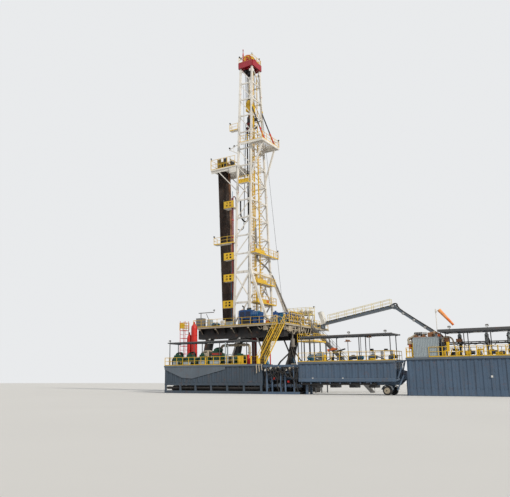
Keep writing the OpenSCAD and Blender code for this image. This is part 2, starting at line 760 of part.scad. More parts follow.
// Floor girders over the base boxes, cross beams and cantilever brackets
module floor_girders() {
  z1 = floor_z - floor_t;
  bracket = -floor_y0 - base_y - girder_w / 2 - 4;
  color(dark) {
    for (sy = [near, far])
      box([floor_x0 + 60, sy * base_y - girder_w / 2, girder_bottom],
        [floor_x1 - 60, sy * base_y + girder_w / 2, z1]);
    for (x = [-700, -420, -150, 150, 420, 700]) {
      box([x - 20, -base_y + girder_w / 2 + seat, z1 - 110], [x + 20, base_y - girder_w / 2 - seat, z1]);
      box([x - 20, base_y + girder_w / 2 + seat, z1 - 110], [x + 20, floor_y1 - 40, z1]);
    }
    for (x = [-640, -420, -210, 0, 210, 420, 640]) {
      translate([x + 5, -base_y - girder_w / 2 - seat, z1]) rotate([90, 0, -90]) linear_extrude(10)
        polygon([[0, 0], [bracket, 0], [bracket, -20], [0, -100]]);
    }
  }
}

module drill_floor() {
  h = rotary_side / 2;
  color(steel) {
    box([floor_x0, floor_y0, floor_z - floor_t], [floor_x1, -h, floor_z]);
    box([floor_x0, h, floor_z - floor_t], [floor_x1, floor_y1, floor_z]);
    box([floor_x0, -h, floor_z - floor_t], [-h, h, floor_z]);
    box([h, -h, floor_z - floor_t], [floor_x1, h, floor_z]);
  }
}

// Rotary table in the floor's opening, with the bore over the well
module rotary_table() {
  s = rotary_side / 2 - seat;
  color(red) difference() {
    union() {
      box([-s, -s, floor_z - 60], [s, s, floor_z]);
      translate([0, 0, floor_z - 1]) cylinder(h = 9, r = 60, $fn = 64);
    }
    translate([0, 0, floor_z - 80]) cylinder(h = 120, r = rotary_r, $fn = 96);
  }
}

stair_x = 750;
stair_w = 120;

// Guard rails round the floor, open at the head of each stair and at the service arm
module floor_rails() {
  z = floor_z;
  color(yellow) {
    rail_to([floor_x0 + 8, floor_y0 + 4, z], [stair_x - 4, floor_y0 + 4, z]);
    rail_to([floor_x0 + 8, floor_y1 - 4, z], [floor_x1 - 8, floor_y1 - 4, z]);
    for (d = [[floor_x0 + 4, floor_y0 + 8, floor_y1 - 8], [floor_x1 - 4, floor_y0 + 8, side_y - 6],
        [floor_x1 - 4, side_y + side_w + 6, arm_y - 70], [floor_x1 - 4, arm_y + 70, floor_y1 - 8]])
      translate([d[0], d[1], z]) rotate([0, 0, 90]) rail(d[2] - d[1]);
  }
}

module control_cabinet() {
  color(steel) {
    box([-755, -570, floor_z], [-640, -460, floor_z + 150]);
    box([-700, -520, floor_z + 150], [-690, -510, floor_z + 230]);
    box([-740, -521, floor_z + 230], [-440, -509, floor_z + 242]);
  }
}

// Winch: drum under a round cover between two end housings, on a skid
module drawworks() {
  x = drum_x;
  y0 = -170;
  y1 = 270;
  color(blue) {
    box([x - 140, y0, floor_z], [x + 140, y1, floor_z + 24]);
    for (y = [y0 + 10, y1 - 70]) translate([x, y + 60, floor_z + 24]) rotate([90, 0, 0])
      linear_extrude(60) {
        translate([-110, 0]) square([220, 90]);
        translate([0, 90]) intersection() {
          circle(r = 110, $fn = 64);
          translate([-110, -1]) square([220, 90]);
        }
      }
    translate([x, y1 - 69, drum_z]) rotate([90, 0, 0]) cylinder(h = y1 - y0 - 138, r = drum_r, $fn = 64);
  }
}

// Raised walkway behind the winch, on posts, with its own guard rails
module winch_platform() {
  z = floor_z + 215;
  x0 = 360;
  x1 = 800;
  y0 = 430;
  y1 = 620;
  color(yellow) {
    box([x0, y0, z - 8], [x1, y1, z]);
    for (x = [x0, (x0 + x1) / 2 - 6, x1 - 12], y = [y0, y1 - 12])
      box([x, y, floor_z], [x + 12, y + 12, z - 8 - seat]);
    for (y = [y0 + 3, y1 - 3]) rail_to([x0, y, z + seat], [x1, y, z + seat], pitch = 75);
    for (x = [x0 + 3, x1 - 3])
      translate([x, y0 + 6, z + seat]) rotate([0, 0, 90]) rail(y1 - y0 - 12, pitch = 75);
  }
}

power_x = 60;

// Diesel hydraulic unit: engine housing, round cooler and radiator on a skid
module power_unit() {
  color(blue) translate([power_x, 0, floor_z]) {
    box([0, -570, 0], [390, -440, 16]);
    box([0, -565, 90], [220, -445, 225]);
    for (x = [10, 180]) box([x, -560, 15], [x + 24, -450, 91]);
    translate([216, -505, 150]) rotate([0, 90, 0]) cylinder(h = 110, r = 62, $fn = 64);
    box([240, -560, 15], [310, -450, 100]);
    box([330, -550, 15], [380, -460, 180]);
  }
}

// Blowout preventer stack on its wellhead flange
module bop_stack() {
  color(red) difference() {
    union() {
      cylinder(h = 24, r = 70, $fn = 64);
      cylinder(h = 560, r = 36, $fn = 64);
      for (z = [90, 220]) box([-150, -48, z], [150, 48, z + 90]);
      translate([0, 0, 340]) cylinder(h = 18, r = 66, $fn = 64);
      translate([0, 0, 370]) cylinder(h = 130, r = 84, $fn = 64);
      translate([0, 0, 500]) cylinder(h = 60, r = 58, $fn = 64);
      translate([0, 0, 560]) cylinder(h = floor_z - 60 - 560 - seat, r = 42, $fn = 64);
    }
    for (i = [0 : 7]) rotate([0, 0, 45 * i + 22.5]) translate([58, 0, -1]) cylinder(h = 26, r = 4.5, $fn = 24);
  }
}

// Low walkway at the height of the preventers, on posts tied to the base boxes
module side_platform() {
  z = 760;
  x0 = base_half - 10;
  x1 = x0 + 280;
  y0 = -200;
  y1 = 240;
  post = 14;
  post_y = [y0, (y0 + y1 - post) / 2, y1 - post];
  color(yellow) {
    box([x0, y0, z - 8], [x1, y1, z]);
    for (x = [x0, x1 - post]) {
      for (y = post_y) box([x, y, 0], [x + post, y + post, z - 8 - seat]);
      for (i = [0, 1]) box([x, post_y[i] + post + seat, 380], [x + post, post_y[i + 1] - seat, 392]);
    }
    for (y = [[-base_y + base_w / 2 + seat, y0 - seat], [y1 + seat, base_y - base_w / 2 - seat]])
      box([x0 - 4, y[0], 0], [x0 + 10, y[1], 14]);
    for (y = [y0 + 3, y1 - 3]) rail_to([x0, y, z + seat], [x1, y, z + seat], pitch = 75);
    for (x = [x0 + 3, x1 - 3])
      translate([x, y0 + 6, z + seat]) rotate([0, 0, 90]) rail(y1 - y0 - 12, pitch = 75);
  }
}

stair_run = 640;
stair_low = shaker_top + deck_t;

// Front flight from the tank deck up to the near edge of the floor
module front_stair() {
  color(steel) translate([stair_x, floor_y0 - stair_run, stair_low]) rotate([0, 0, 90])
    translate([0, -stair_w, 0]) flight(stair_run, floor_z - stair_low, stair_w);
}

module front_stair_rails() {
  color(yellow) translate([stair_x, floor_y0 - stair_run, stair_low]) rotate([0, 0, 90])
    for (y = [-stair_w - rail_t / 2 - eps, rail_t / 2 + eps])
      translate([0, y, 0]) stair_rail(stair_run - 3, (floor_z - stair_low) * (stair_run - 3) / stair_run);
}

side_run = 960;
side_y = 300;
side_w = 90;

// Flight from the ground up to the back edge of the floor
module side_stair() {
  color(steel) translate([floor_x1 + side_run, side_y + side_w, 0]) rotate([0, 0, 180]) {
    flight(side_run, floor_z, side_w, 40);
    for (y = [-rail_t / 2 - eps, side_w + rail_t / 2 + eps])
      translate([0, y, 0]) stair_rail(side_run - 3, floor_z * (side_run - 3) / side_run);
  }
}

arm_y = 740;
arm_w = 90;
arm_a = [floor_x1 + 10, arm_y, floor_z + 65];
arm_b = [2080, arm_y, 1300];
arm_c = [2700, arm_y, 840];

// Service arm: trough from the floor to a knuckle and a plain boom down to its stand
module cable_arm() {
  color(steel) {
    bar(arm_a, arm_b, 36, arm_w);
    translate([arm_b.x, arm_y - arm_w / 2 - 6, arm_b.z]) rotate([-90, 0, 0]) cylinder(h = arm_w + 12, r = 36, $fn = 48);
    bar(arm_b, arm_c, 34, arm_w - 20);
    translate([arm_c.x, arm_y - arm_w / 2, arm_c.z]) rotate([-90, 0, 0]) cylinder(h = arm_w, r = 22, $fn = 32);
    translate([arm_a.x - 70, arm_y - 60, floor_z]) cube([90, 120, 60]);
    translate([arm_a.x + 10, arm_y - 50, floor_z + 56]) rotate([0, -18, 0]) cube([62, 100, 215]);
  }
}

module cable_arm_rails() {
  run = 1050;
  g = (arm_b.z - arm_a.z) / (arm_b.x - arm_a.x);
  x0 = 110;
  color(cream) for (s = [-1, 1])
    translate([arm_a.x + x0, arm_y + s * (arm_w / 2 - rail_t / 2 - 1), arm_a.z + x0 * g + 18.4])
      stair_rail(run, run * g, 110);
}

module cable_arm_stand() {
  top = arm_c.z - 22 - seat;
  color(steel) {
    for (x = [arm_c.x - 64, arm_c.x + 50], y = [arm_y - 50, arm_y + 36])
      box([x, y, 0], [x + 14, y + 14, top]);
    box([arm_c.x - 74, arm_y - 60, top - 20], [arm_c.x + 74, arm_y + 60, top]);
    box([arm_c.x - 74, arm_y - 60, 0], [arm_c.x + 74, arm_y + 60, 10]);
    for (y = [arm_y - 49, arm_y + 37]) bar([arm_c.x - 57, y + 6, 6], [arm_c.x + 57, y + 6, top - 10], 9, 9);
  }
}

// Open topped tank of five plates from a level up, the long ones ribbed outside
module tank(x0, x1, low, top, ribs_from) {
  y1 = tank_y0 + tank_w;
  inner = [tank_y0 + 6 + tank_wall + seat, y1 - 6 - tank_wall - seat];
  n = round((x1 - x0) / rib_pitch);
  box([x0 + tank_wall + seat, inner[0], low], [x1 - tank_wall - seat, inner[1], low + tank_wall]);
  for (x = [x0, x1 - tank_wall]) box([x, inner[0], low], [x + tank_wall, inner[1], top]);
  for (y = [tank_y0 + 6, y1 - 6 - tank_wall]) box([x0, y, low], [x1, y + tank_wall, top]);
  for (y = [tank_y0, y1 - 8]) {
    for (i = [0 : n - 1])
      box([x0 + (i + 0.5) * (x1 - x0) / n - rib_pitch * 0.2, y, ribs_from],
        [x0 + (i + 0.5) * (x1 - x0) / n + rib_pitch * 0.2, y + 8, top - 14]);
    box([x0, y, low], [x1, y + 8, low + 14]);
  }
}

// Skid of two long runners and a beam across each end
module skid(x0, x1, h) {
  y1 = tank_y0 + tank_w;
  for (y = [tank_y0, y1 - 24]) box([x0, y, 0], [x1, y + 24, h]);
  for (x = [x0, x1 - 24]) box([x, tank_y0 + 24, 0], [x + 24, y1 - 24, h]);
}

// Deck of a tank with three hatches and an agitator's motor and gearbox beside each
module tank_deck(x0, x1, top, agitators = 0) {
  difference() {
    box([x0 - 6, tank_y0 - 6, top], [x1 + 6, tank_y0 + tank_w + 6, top + deck_t]);
    for (i = [0 : 2])
      box([x0 + (x1 - x0) * (0.2 + i * 0.3) - 30, tank_y0 + 200, top - 1],
        [x0 + (x1 - x0) * (0.2 + i * 0.3) + 30, tank_y0 + 250, top + deck_t + 1]);
  }
  if (agitators > 0) for (i = [0 : agitators - 1]) {
    x = x1 - 90 - i * (x1 - x0 - 500) / agitators;
    translate([x, tank_y0 + 130, top + deck_t + seat]) {
      box([-45, -35, 0], [45, 35, 10]);
      cylinder(h = 56, r = 22, $fn = 48);
      translate([-10, 0, 45]) rotate([0, 90, 0]) cylinder(h = 84, r = 20, $fn = 48);
    }
  }
}

// Shaker tank on an open skid: runners on the ground, short posts and a stiffened hitch plate
module shaker_tank() {
  y1 = tank_y0 + tank_w;
  color(slate) {
    tank(shaker_x0, shaker_x1, shaker_skid_h, shaker_top, shaker_skid_h + 40);
    skid(shaker_x0, shaker_x1, 36);
    for (i = [0 : 6], y = [tank_y0 + 2, y1 - 22])
      translate([shaker_x0 + 4 + i * (shaker_x1 - shaker_x0 - 32) / 6, y, 35])
        cube([24, 20, shaker_skid_h - seat - 35]);
    translate([0, tank_y0 + 1, 0]) rotate([90, 0, 0]) linear_extrude(7)
      polygon([[shaker_x0, shaker_top - 2], [shaker_x0, shaker_top - 50], [shaker_x0 + 320, shaker_skid_h + 110],
        [shaker_x0 + 620, shaker_top - 50], [shaker_x0 + 620, shaker_top - 2]]);
  }
}

module shaker_tank_deck() { color(slate) tank_deck(shaker_x0, shaker_x1, shaker_top); }

axle_x = middle_x1 - 115;
axle_r = 8;

// Middle tank on a trailer frame: chassis beams, wheel axle on hangers, gooseneck and landing legs
module middle_tank() {
  y1 = tank_y0 + tank_w;
  beams = [tank_y0 + 80, y1 - 100];
  chassis_top = trailer_h - seat;
  color(slate) {
    tank(middle_x0, middle_x1, trailer_h, middle_top, trailer_h + 40);
    for (y = beams) {
      box([middle_x0, y, trailer_h - 36], [middle_x1, y + 20, chassis_top]);
      translate([0, y + 20, 0]) rotate([90, 0, 0]) linear_extrude(20)
        polygon([[middle_x1 + seat, trailer_h - 36], [middle_x1 + 60, trailer_h + 20],
          [right_x0 - 8, trailer_h + 60], [right_x0 - 8, trailer_h + 110], [middle_x1 + seat, trailer_h + 150]]);
      translate([0, y + 20, 0]) rotate([90, 0, 0]) linear_extrude(20)
        polygon([[axle_x - 14, wheel_r - 12], [axle_x + 14, wheel_r - 12], [axle_x + 40, trailer_h - 30],
          [axle_x - 40, trailer_h - 30]]);
      for (x = [middle_x0 + 60, right_x0 - 38])
        box([x, y - 2, 0], [x + 28, y + 22, x > axle_x ? trailer_h + 60 : chassis_top]);
      for (x = [middle_x0 + 56, right_x0 - 42]) box([x, y - 10, 0], [x + 36, y + 30, 8]);
    }
    for (x = [middle_x0 + 30 : 130 : middle_x1 - 200])
      box([x, tank_y0 + 6, trailer_h - 24], [x + 14, y1 - 6, chassis_top]);
    box([right_x0 - 30, beams[0], trailer_h + 60], [right_x0 - 8, beams[1] + 20, trailer_h + 110]);
    translate([axle_x, tank_y0 + 10, wheel_r + 1]) rotate([-90, 0, 0])
      cylinder(h = tank_w - 20, r = axle_r, $fn = 48);
  }
}

// Its deck, with a plate that bridges to the next tank
module middle_tank_deck() {
  color(slate) {
    tank_deck(middle_x0, middle_x1, middle_top, 3);
    box([middle_x1, tank_y0 + 60, middle_top], [right_x0 - seat, tank_y0 + tank_w - 60, middle_top + deck_t]);
  }
}

module right_tank() {
  color(slate) {
    tank(right_x0, right_x1, skid_h, right_top, 90);
    skid(right_x0, right_x1, skid_h - seat);
  }
}

module right_tank_deck() { color(slate) tank_deck(right_x0, right_x1, right_top, 3); }

flow_y = tank_y0 + tank_w - 40;
shaker_first = -560;
shaker_pitch = 230;
shaker_d = 140;

// Shale shakers and a mud pump motor on the shaker tank
module shakers() {
  z = shaker_top + deck_t;
  y = flow_y - 40 - shaker_d;
  color([0.06, 0.28, 0.18]) {
    for (i = [0 : 3])
      let (x = shaker_first + i * shaker_pitch, tall = i == 3 ? 50 : 0) {
        box([x, y, z], [x + 160, y + shaker_d, z + 41 + tall]);
        translate([x, y + shaker_d - 10, z + 40 + tall]) rotate([90, 0, 0]) linear_extrude(shaker_d - 20)
          polygon([[0, 0], [160, 0], [160, 60], [30, 110], [0, 110]]);
        translate([x + 60, y + 10, z + 130 + tall]) rotate([-90, 0, 0])
          cylinder(h = shaker_d - 20, r = 24, $fn = 32);
      }
    box([500, y, z], [660, y + 100, z + 30]);
    translate([500, y + 50, z + 80]) rotate([0, 90, 0]) cylinder(h = 150, r = 52, $fn = 48);
  }
}

// Pipe manifold between the shaker tank and the middle tank: posts, rails, three headers, two bends
module manifold_bay() {
  x0 = shaker_x1 + seat;
  x1 = middle_x0 - seat;
  y1 = tank_y0 + tank_w;
  posts = [x0 + 60, (x0 + x1) / 2, x1 - 80];
  color(slate) {
    for (y = [tank_y0 + 10, y1 - 30]) {
      box([x0, y, 0], [x1, y + 20, 30]);
      box([x0, y, 350], [x1, y + 20, 375]);
      for (x = posts) box([x, y, 30 + seat], [x + 16, y + 20, 350 - seat]);
    }
    for (d = manifold_headers)
      translate([x0, tank_y0 + d[1], d[0]]) rotate([0, 90, 0]) cylinder(h = x1 - x0, r = d[2], $fn = 48);
    for (x = posts, d = manifold_headers)
      box([x + 2, tank_y0 + 30 + seat, d[0] - d[2] - 12 - seat], [x + 14, y1 - 30 - seat, d[0] - d[2] - seat]);
    for (i = [0, 1]) translate([x0 + 130 + i * 190, tank_y0 + 54, 0]) {
      cylinder(h = 6, r = 15, $fn = 48);
      cylinder(h = 300, r = 13, $fn = 48);
      translate([0, 0, manifold_headers[2][0]]) rotate([-90, 0, 0])
        cylinder(h = manifold_headers[2][1] - manifold_headers[2][2] - 54 - seat, r = 13, $fn = 48);
      translate([0, 0, manifold_headers[2][0]]) sphere(r = 13, $fn = 48);
    }
  }
}

// Level, depth and radius of each header
manifold_headers = [[110, 90, 20], [205, 130, 16], [300, 90, 20]];

wheel_fit = 0.05;

// Road wheels under the middle tank's neck, free to turn on their axle
module road_wheels() {
  bore = axle_r + wheel_fit;
  color(dark) for (y = [tank_y0 + 16, tank_y0 + tank_w - 68])
    translate([axle_x, y, wheel_r + 1]) rotate([-90, 0, 0]) rotate_extrude($fn = 96)
      polygon([[bore, 6], [30, 10], [34, 0], [wheel_r - 4, 0], [wheel_r, 6], [wheel_r, 46],
        [wheel_r - 4, 52], [34, 52], [30, 42], [bore, 46]]);
}

cabin_x0 = 2990;
cabin_x1 = 3270;

// Guard rails round the tank decks, open at the stair's foot and at the cabin
module tank_rails() {
  y1 = tank_y0 + tank_w;
  color(yellow) {
    for (r = [[shaker_x0, stair_x - 8, tank_y0, shaker_top], [shaker_x0, stair_x - 8, y1, shaker_top],
        [middle_x0, middle_x1, tank_y0, middle_top], [middle_x0, middle_x1, y1, middle_top],
        [right_x0, cabin_x0 - 10, tank_y0, right_top], [cabin_x1 - 110, right_x1, tank_y0, right_top],
        [right_x0, right_x1, y1, right_top]])
      rail_to([r[0], r[2], r[3] + deck_t], [r[1], r[2], r[3] + deck_t], pitch = tank_rail_pitch);
    for (t = [[shaker_x0, shaker_top], [middle_x1, middle_top], [right_x1, right_top]])
      translate([t[0], tank_y0 + 6, t[1] + deck_t]) rotate([0, 0, 90]) rail(tank_w - 12, pitch = tank_rail_pitch);
  }
}

// Ends, near edge, far edge and thickness of each canopy, and the tank top under it
canopy_runs = [[-640, 735, tank_y0 + 50, tank_y0 + tank_w + 40, 10, shaker_top],
  [1530, 2740, tank_y0 + 12, tank_y0 + tank_w + 20, 12, middle_top],
  [cabin_x1 + 8, right_x1 - 30, tank_y0 + 12, tank_y0 + tank_w + 60, 22, right_top]];

// Long sunshades over the tanks, each on two rows of posts
module canopies() {
  color(dark) for (c = canopy_runs) {
    box([c[0], c[2], canopy_z], [c[1], c[3], canopy_z + c[4]]);
    for (i = [0 : 3], y = [c[2] + 8, tank_y0 + tank_w - 18])
      let (x = c[0] + 20 + i * (c[1] - c[0] - 52) / 3 + (y > c[2] + 10 ? -12 : 0))
        box([x, y, c[5] + deck_t], [x + 9, y + 9, canopy_z - seat]);
  }
}

// Small cabin on the right tank with a walled shell, floor and flat roof
module tank_cabin() {
  z = right_top + deck_t;
  y0 = tank_y0 + 8;
  y1 = tank_y0 + tank_w - 90;
  color([0.62, 0.68, 0.72]) difference() {
    box([cabin_x0, y0, z], [cabin_x1, y1, z + cabin_h]);
    box([cabin_x0 + 8, y0 + 8, z + 8], [cabin_x1 - 8, y1 - 8, z + cabin_h - 8]);
    box([cabin_x1 - 9, y0 + 60, z + 8], [cabin_x1 + 1, y0 + 150, z + 205]);
  }
}

cabin_h = 228;
sock_x = cabin_x1 - 66;
sock_y = tank_y0 + tank_w - 30;
sock_z = 1000;
pole_w = 4;
sock_r = 22;
sock_fit = 0.05;
sock_drop = [150, 0, -185];
sock_mouth = [sock_x + 16 + sock_r, sock_y, sock_z - 8];

// Pole for the windsock: foot plate, shaft, and a collar below and above the swivel
module windsock_pole() {
  z = right_top + deck_t;
  color(cream) translate([sock_x, sock_y, 0]) {
    translate([0, 0, z]) cylinder(h = 8, r = 12, $fn = 32);
    translate([0, 0, z]) cylinder(h = sock_z - z, r = pole_w, $fn = 48);
    translate([0, 0, sock_z - 46]) cylinder(h = 10, r = pole_w + 3, $fn = 48);
    translate([0, 0, sock_z - 4]) cylinder(h = 8, r = pole_w + 3, $fn = 48);
  }
}

// Swivel on the pole, with the arm and the hoop that holds the sock's mouth
module windsock_hoop() {
  lip = sock_mouth + sock_r * [sock_drop.z, 0, -sock_drop.x] / norm(sock_drop);
  color(cream) difference() {
    union() {
      translate([sock_x, sock_y, sock_z - 36 + seat]) cylinder(h = 32 - 2 * seat, r = pole_w + 4, $fn = 48);
      rod([sock_x + 6, sock_y, lip.z + 4], lip, 2, 24);
      translate(sock_mouth) rotate([0, atan2(sock_drop.x, sock_drop.z), 0])
        rotate_extrude($fn = 64) translate([sock_r, 0]) circle(r = 2.5, $fn = 24);
    }
    translate([sock_x, sock_y, sock_z - 60]) cylinder(h = 80, r = pole_w + sock_fit, $fn = 48);
  }
}

// Windsock: a tapering sleeve of cloth that hangs in a light breeze
module windsock() {
  l = norm(sock_drop);
  color([0.9, 0.35, 0.1]) translate(sock_mouth) rotate([0, atan2(sock_drop.x, sock_drop.z), 0])
    translate([0, 0, 2.5 + seat]) rotate_extrude($fn = 48)
      polygon([[sock_r - 1.5, 0], [sock_r, 0], [sock_r * 0.55, l], [sock_r * 0.55 - 1.5, l]]);
}

sep_x = -520;
sep_y = -950;
sep_gap = 90;
// Radius and top of each vessel
vessels = [[48, 1070], [38, 915]];
tower_w = 100;

// Mud gas separator: two upright vessels with domed ends on legs, and a caged ladder tower
module separator() {
  color(red) for (i = [0, 1]) translate([sep_x - i * sep_gap, sep_y, 0]) {
    r = vessels[i][0];
    h = vessels[i][1];
    for (a = [45 : 90 : 315]) rotate([0, 0, a]) translate([r * 0.7, -4, 0]) cube([8, 8, 200]);
    translate([0, 0, 160]) rotate_extrude($fn = 64)
      polygon([[0, 0], [r * 0.6, 8], [r - 2, 30], [r, 40], [r, h - 260], [r - 4, h - 230], [r * 0.5, h - 200],
        [10, h - 194], [10, h - 160], [0, h - 160]]);
  }
  color(red) for (z = [340, 700]) {
    translate([sep_x - sep_gap, sep_y, z + 3]) rotate([0, 90, 0]) cylinder(h = sep_gap, r = 9, $fn = 32);
    box([tower_x + tower_w - 1, sep_y - 8, z], [sep_x - sep_gap - 20, sep_y + 8, z + 6]);
  }
  color(red) separator_ladder();
}

tower_x = sep_x - sep_gap - vessels[1][0] - 12 - tower_w;

// Ladder tower: four posts with a ring at each rung level and a floor near the top
module separator_ladder() {
  w = tower_w;
  x = tower_x;
  y = sep_y - w / 2;
  for (dx = [0, w - 6], dy = [0, w - 6]) box([x + dx, y + dy, 0], [x + dx + 6, y + dy + 6, 1090]);
  for (z = [100 : 60 : 1060]) for (dx = [0, w - 6]) box([x + dx, y, z], [x + dx + 6, y + w, z + 5]);
  for (z = [100 : 120 : 1060]) for (dy = [0, w - 6]) box([x, y + dy, z], [x + w, y + dy + 6, z + 6]);
  box([x, y, 940], [x + w, y + w, 946]);
  for (z = [340, 700]) box([x, sep_y - 8, z], [x + w, sep_y + 8, z + 6]);
}

flow_x = [170, 640];
flow_z = 670;
flow_r = 18;

// Return line over the shaker tank, an arch of pipe standing on the deck
module flow_line() {
  z0 = shaker_top + deck_t;
  bend = 45;
  color(steel) {
    translate([flow_x[0] + bend, flow_y, flow_z]) rotate([0, 90, 0])
      cylinder(h = flow_x[1] - flow_x[0] - 2 * bend, r = flow_r, $fn = 32);
    for (i = [0, 1]) {
      translate([flow_x[i], flow_y, z0]) cylinder(h = 10, r = flow_r + 12, $fn = 32);
      translate([flow_x[i], flow_y, z0]) cylinder(h = flow_z - bend - z0, r = flow_r, $fn = 32);
      translate([flow_x[i] + bend * (1 - 2 * i), flow_y, flow_z - bend]) rotate([90, 0, 0])
        rotate([0, 0, 90 * (1 - i)]) rotate_extrude(angle = 90, $fn = 64)
          translate([bend, 0]) circle(r = flow_r, $fn = 32);
    }
  }
}

mast_near_side();
mast_far_side();
mast_back();
crown_frame();
crown_sheaves();
crown_rails();
signal_pole();
back_braces();
racking_board();
racking_board_rails();
racked_stands();
upper_platform();
upper_platform_rails();
platform_struts();
ladder_landings();
mast_ladder();
back_platforms();
standpipes();
guide_rails();
travelling_block();
top_drive();
drilling_lines();
fast_line();
rotary_hose();
service_loop();
base_boxes();
swing_legs();
floor_girders();
drill_floor();
rotary_table();
floor_rails();
control_cabinet();
drawworks();
winch_platform();
power_unit();
bop_stack();
side_platform();
front_stair();
front_stair_rails();
side_stair();
cable_arm();
cable_arm_rails();
cable_arm_stand();
shaker_tank();
shaker_tank_deck();
shakers();
manifold_bay();
middle_tank();
middle_tank_deck();
road_wheels();
right_tank();
right_tank_deck();
tank_rails();
canopies();
tank_cabin();
windsock_pole();
windsock_hoop();
windsock();
separator();
flow_line();
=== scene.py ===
"""Dresses a 1:10 land drilling rig with paint, rope, hose, pipe, gratings, lamps and machinery."""

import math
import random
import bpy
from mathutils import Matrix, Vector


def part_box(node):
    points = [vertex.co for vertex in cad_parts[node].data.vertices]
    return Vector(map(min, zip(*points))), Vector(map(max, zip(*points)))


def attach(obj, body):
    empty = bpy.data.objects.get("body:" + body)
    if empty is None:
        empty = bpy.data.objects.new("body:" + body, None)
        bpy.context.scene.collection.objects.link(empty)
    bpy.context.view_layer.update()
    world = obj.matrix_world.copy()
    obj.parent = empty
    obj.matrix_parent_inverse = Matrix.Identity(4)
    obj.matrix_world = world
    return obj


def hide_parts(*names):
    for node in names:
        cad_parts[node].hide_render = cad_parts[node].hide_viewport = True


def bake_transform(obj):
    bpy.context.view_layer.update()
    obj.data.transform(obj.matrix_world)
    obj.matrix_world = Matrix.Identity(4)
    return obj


bl_info = {
    "name": "Drilling rig dressing",
    "version": (1, 0, 0),
    "blender": (4, 5, 0),
    "location": "View3D > Sidebar > Drilling rig",
    "description": "Paints and details a scale model of a land drilling rig",
    "category": "Object",
}

import bpy
from mathutils import Matrix, Vector

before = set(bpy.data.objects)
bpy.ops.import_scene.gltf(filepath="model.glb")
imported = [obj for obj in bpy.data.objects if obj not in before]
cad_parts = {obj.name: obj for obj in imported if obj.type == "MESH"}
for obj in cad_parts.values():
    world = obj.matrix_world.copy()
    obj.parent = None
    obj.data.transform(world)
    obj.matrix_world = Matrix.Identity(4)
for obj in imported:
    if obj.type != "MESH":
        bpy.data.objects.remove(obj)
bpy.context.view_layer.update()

RIG = "rig"
BLOCK = "block"
WHEELS = "wheels"
SOCK = "sock"

# Edges sharper than these angles, in degrees, are rounded or kept crisp
BEVEL_ANGLE = 40
SMOOTH_ANGLE = 35

# Camera, fitted to the lines of the tanks and the floor in the photo: place, turn in degrees and lens
CAMERA_AT = (5.155, -8.936, 0.145)
CAMERA_TURN = (102.07, 0, 34.26)
CAMERA_LENS = 44.32
CAMERA_SENSOR = 36
CAMERA_SHIFT = 0.0945
VIEW_REACH = 1000

# Windsock: mouth, way to its tail, radii and cloth thickness
SOCK_MOUTH = Vector((3.242, -1.23, 0.992))
SOCK_RUN = Vector((0.150, 0.0, -0.185))
SOCK_RADII = (0.0219, 0.0125)
SOCK_CLOTH = 0.0006


# Settings


def paint_colour(name, description, value):
    """A colour of the dressing, in linear light."""
    return bpy.props.FloatVectorProperty(
        name=name, description=description, subtype="COLOR", default=value, min=0, max=1)


class RigColours(bpy.types.PropertyGroup):
    """Paint colours of the rig's finishes"""

    cream: paint_colour("Mast paint", "Warm white of the mast and its platforms", (0.68, 0.66, 0.62))
    yellow: paint_colour("Safety yellow", "Guard rails, ladders and the block", (0.66, 0.42, 0.025))
    red: paint_colour("Red paint", "Crown, standpipes, separator and preventers", (0.50, 0.022, 0.018))
    blue: paint_colour("Blue paint", "Winch and power unit", (0.008, 0.055, 0.19))
    slate: paint_colour("Tank paint", "Blue grey of the mud tanks", (0.072, 0.112, 0.172))
    dark: paint_colour("Substructure paint", "Charcoal of the legs, girders and base boxes",
                       (0.022, 0.022, 0.023))
    deck: paint_colour("Deck steel", "Grey of floor plates, stairs and the service arm",
                       (0.16, 0.165, 0.17))
    green: paint_colour("Shaker paint", "Dark green of the shale shakers", (0.008, 0.060, 0.036))
    cabin: paint_colour("Cabin paint", "Pale blue grey of the tank cabin", (0.30, 0.35, 0.38))
    dust: paint_colour("Dust", "Desert dust that settles on ledges", (0.50, 0.41, 0.29))


class RigSizes(bpy.types.PropertyGroup):
    """Sizes of the details that the dressing adds"""

    pipe_radius: bpy.props.FloatProperty(
        name="Pipe radius", description="Radius of one racked drill pipe",
        default=0.0066, unit="LENGTH")
    rope_radius: bpy.props.FloatProperty(
        name="Rope radius", description="Radius of the drilling line",
        default=0.0025, unit="LENGTH")
    hose_radius: bpy.props.FloatProperty(
        name="Hose radius", description="Radius of the rotary hose",
        default=0.006, unit="LENGTH")
    grating_pitch: bpy.props.FloatProperty(
        name="Grating pitch", description="Spacing of the bearing bars in a platform grating",
        default=0.012, unit="LENGTH")


def colours():
    return bpy.context.scene.rig_colours


def sizes():
    return bpy.context.scene.rig_sizes


# Modelling helpers


def clear_selection():
    if bpy.context.mode != "OBJECT":
        bpy.ops.object.mode_set(mode="OBJECT")
    for piece in bpy.context.selected_objects:
        piece.select_set(False)


def settle():
    """Puts the active object's place, turn and size into its mesh."""
    piece = bpy.context.object
    piece.data.transform(piece.matrix_basis)
    piece.matrix_basis = Matrix()
    return piece


def bevel_edges(piece, width, segments=1):
    """Rounds every sharp edge of a piece with an applied bevel."""
    bevel = piece.modifiers.new("edges", "BEVEL")
    bevel.width = width
    bevel.segments = segments
    bevel.limit_method = "ANGLE"
    bevel.angle_limit = math.radians(BEVEL_ANGLE)
    bpy.context.view_layer.objects.active = piece
    bpy.ops.object.modifier_apply(modifier=bevel.name)
    return piece


def box(low, high, edge=0.0):
    """A plate or box between two corners, with small edge rounding."""
    low, high = Vector(low), Vector(high)
    clear_selection()
    bpy.ops.mesh.primitive_cube_add(size=1, location=(low + high) / 2)
    piece = bpy.context.object
    piece.scale = high - low
    settle()
    if edge:
        bevel_edges(piece, edge)
    return piece


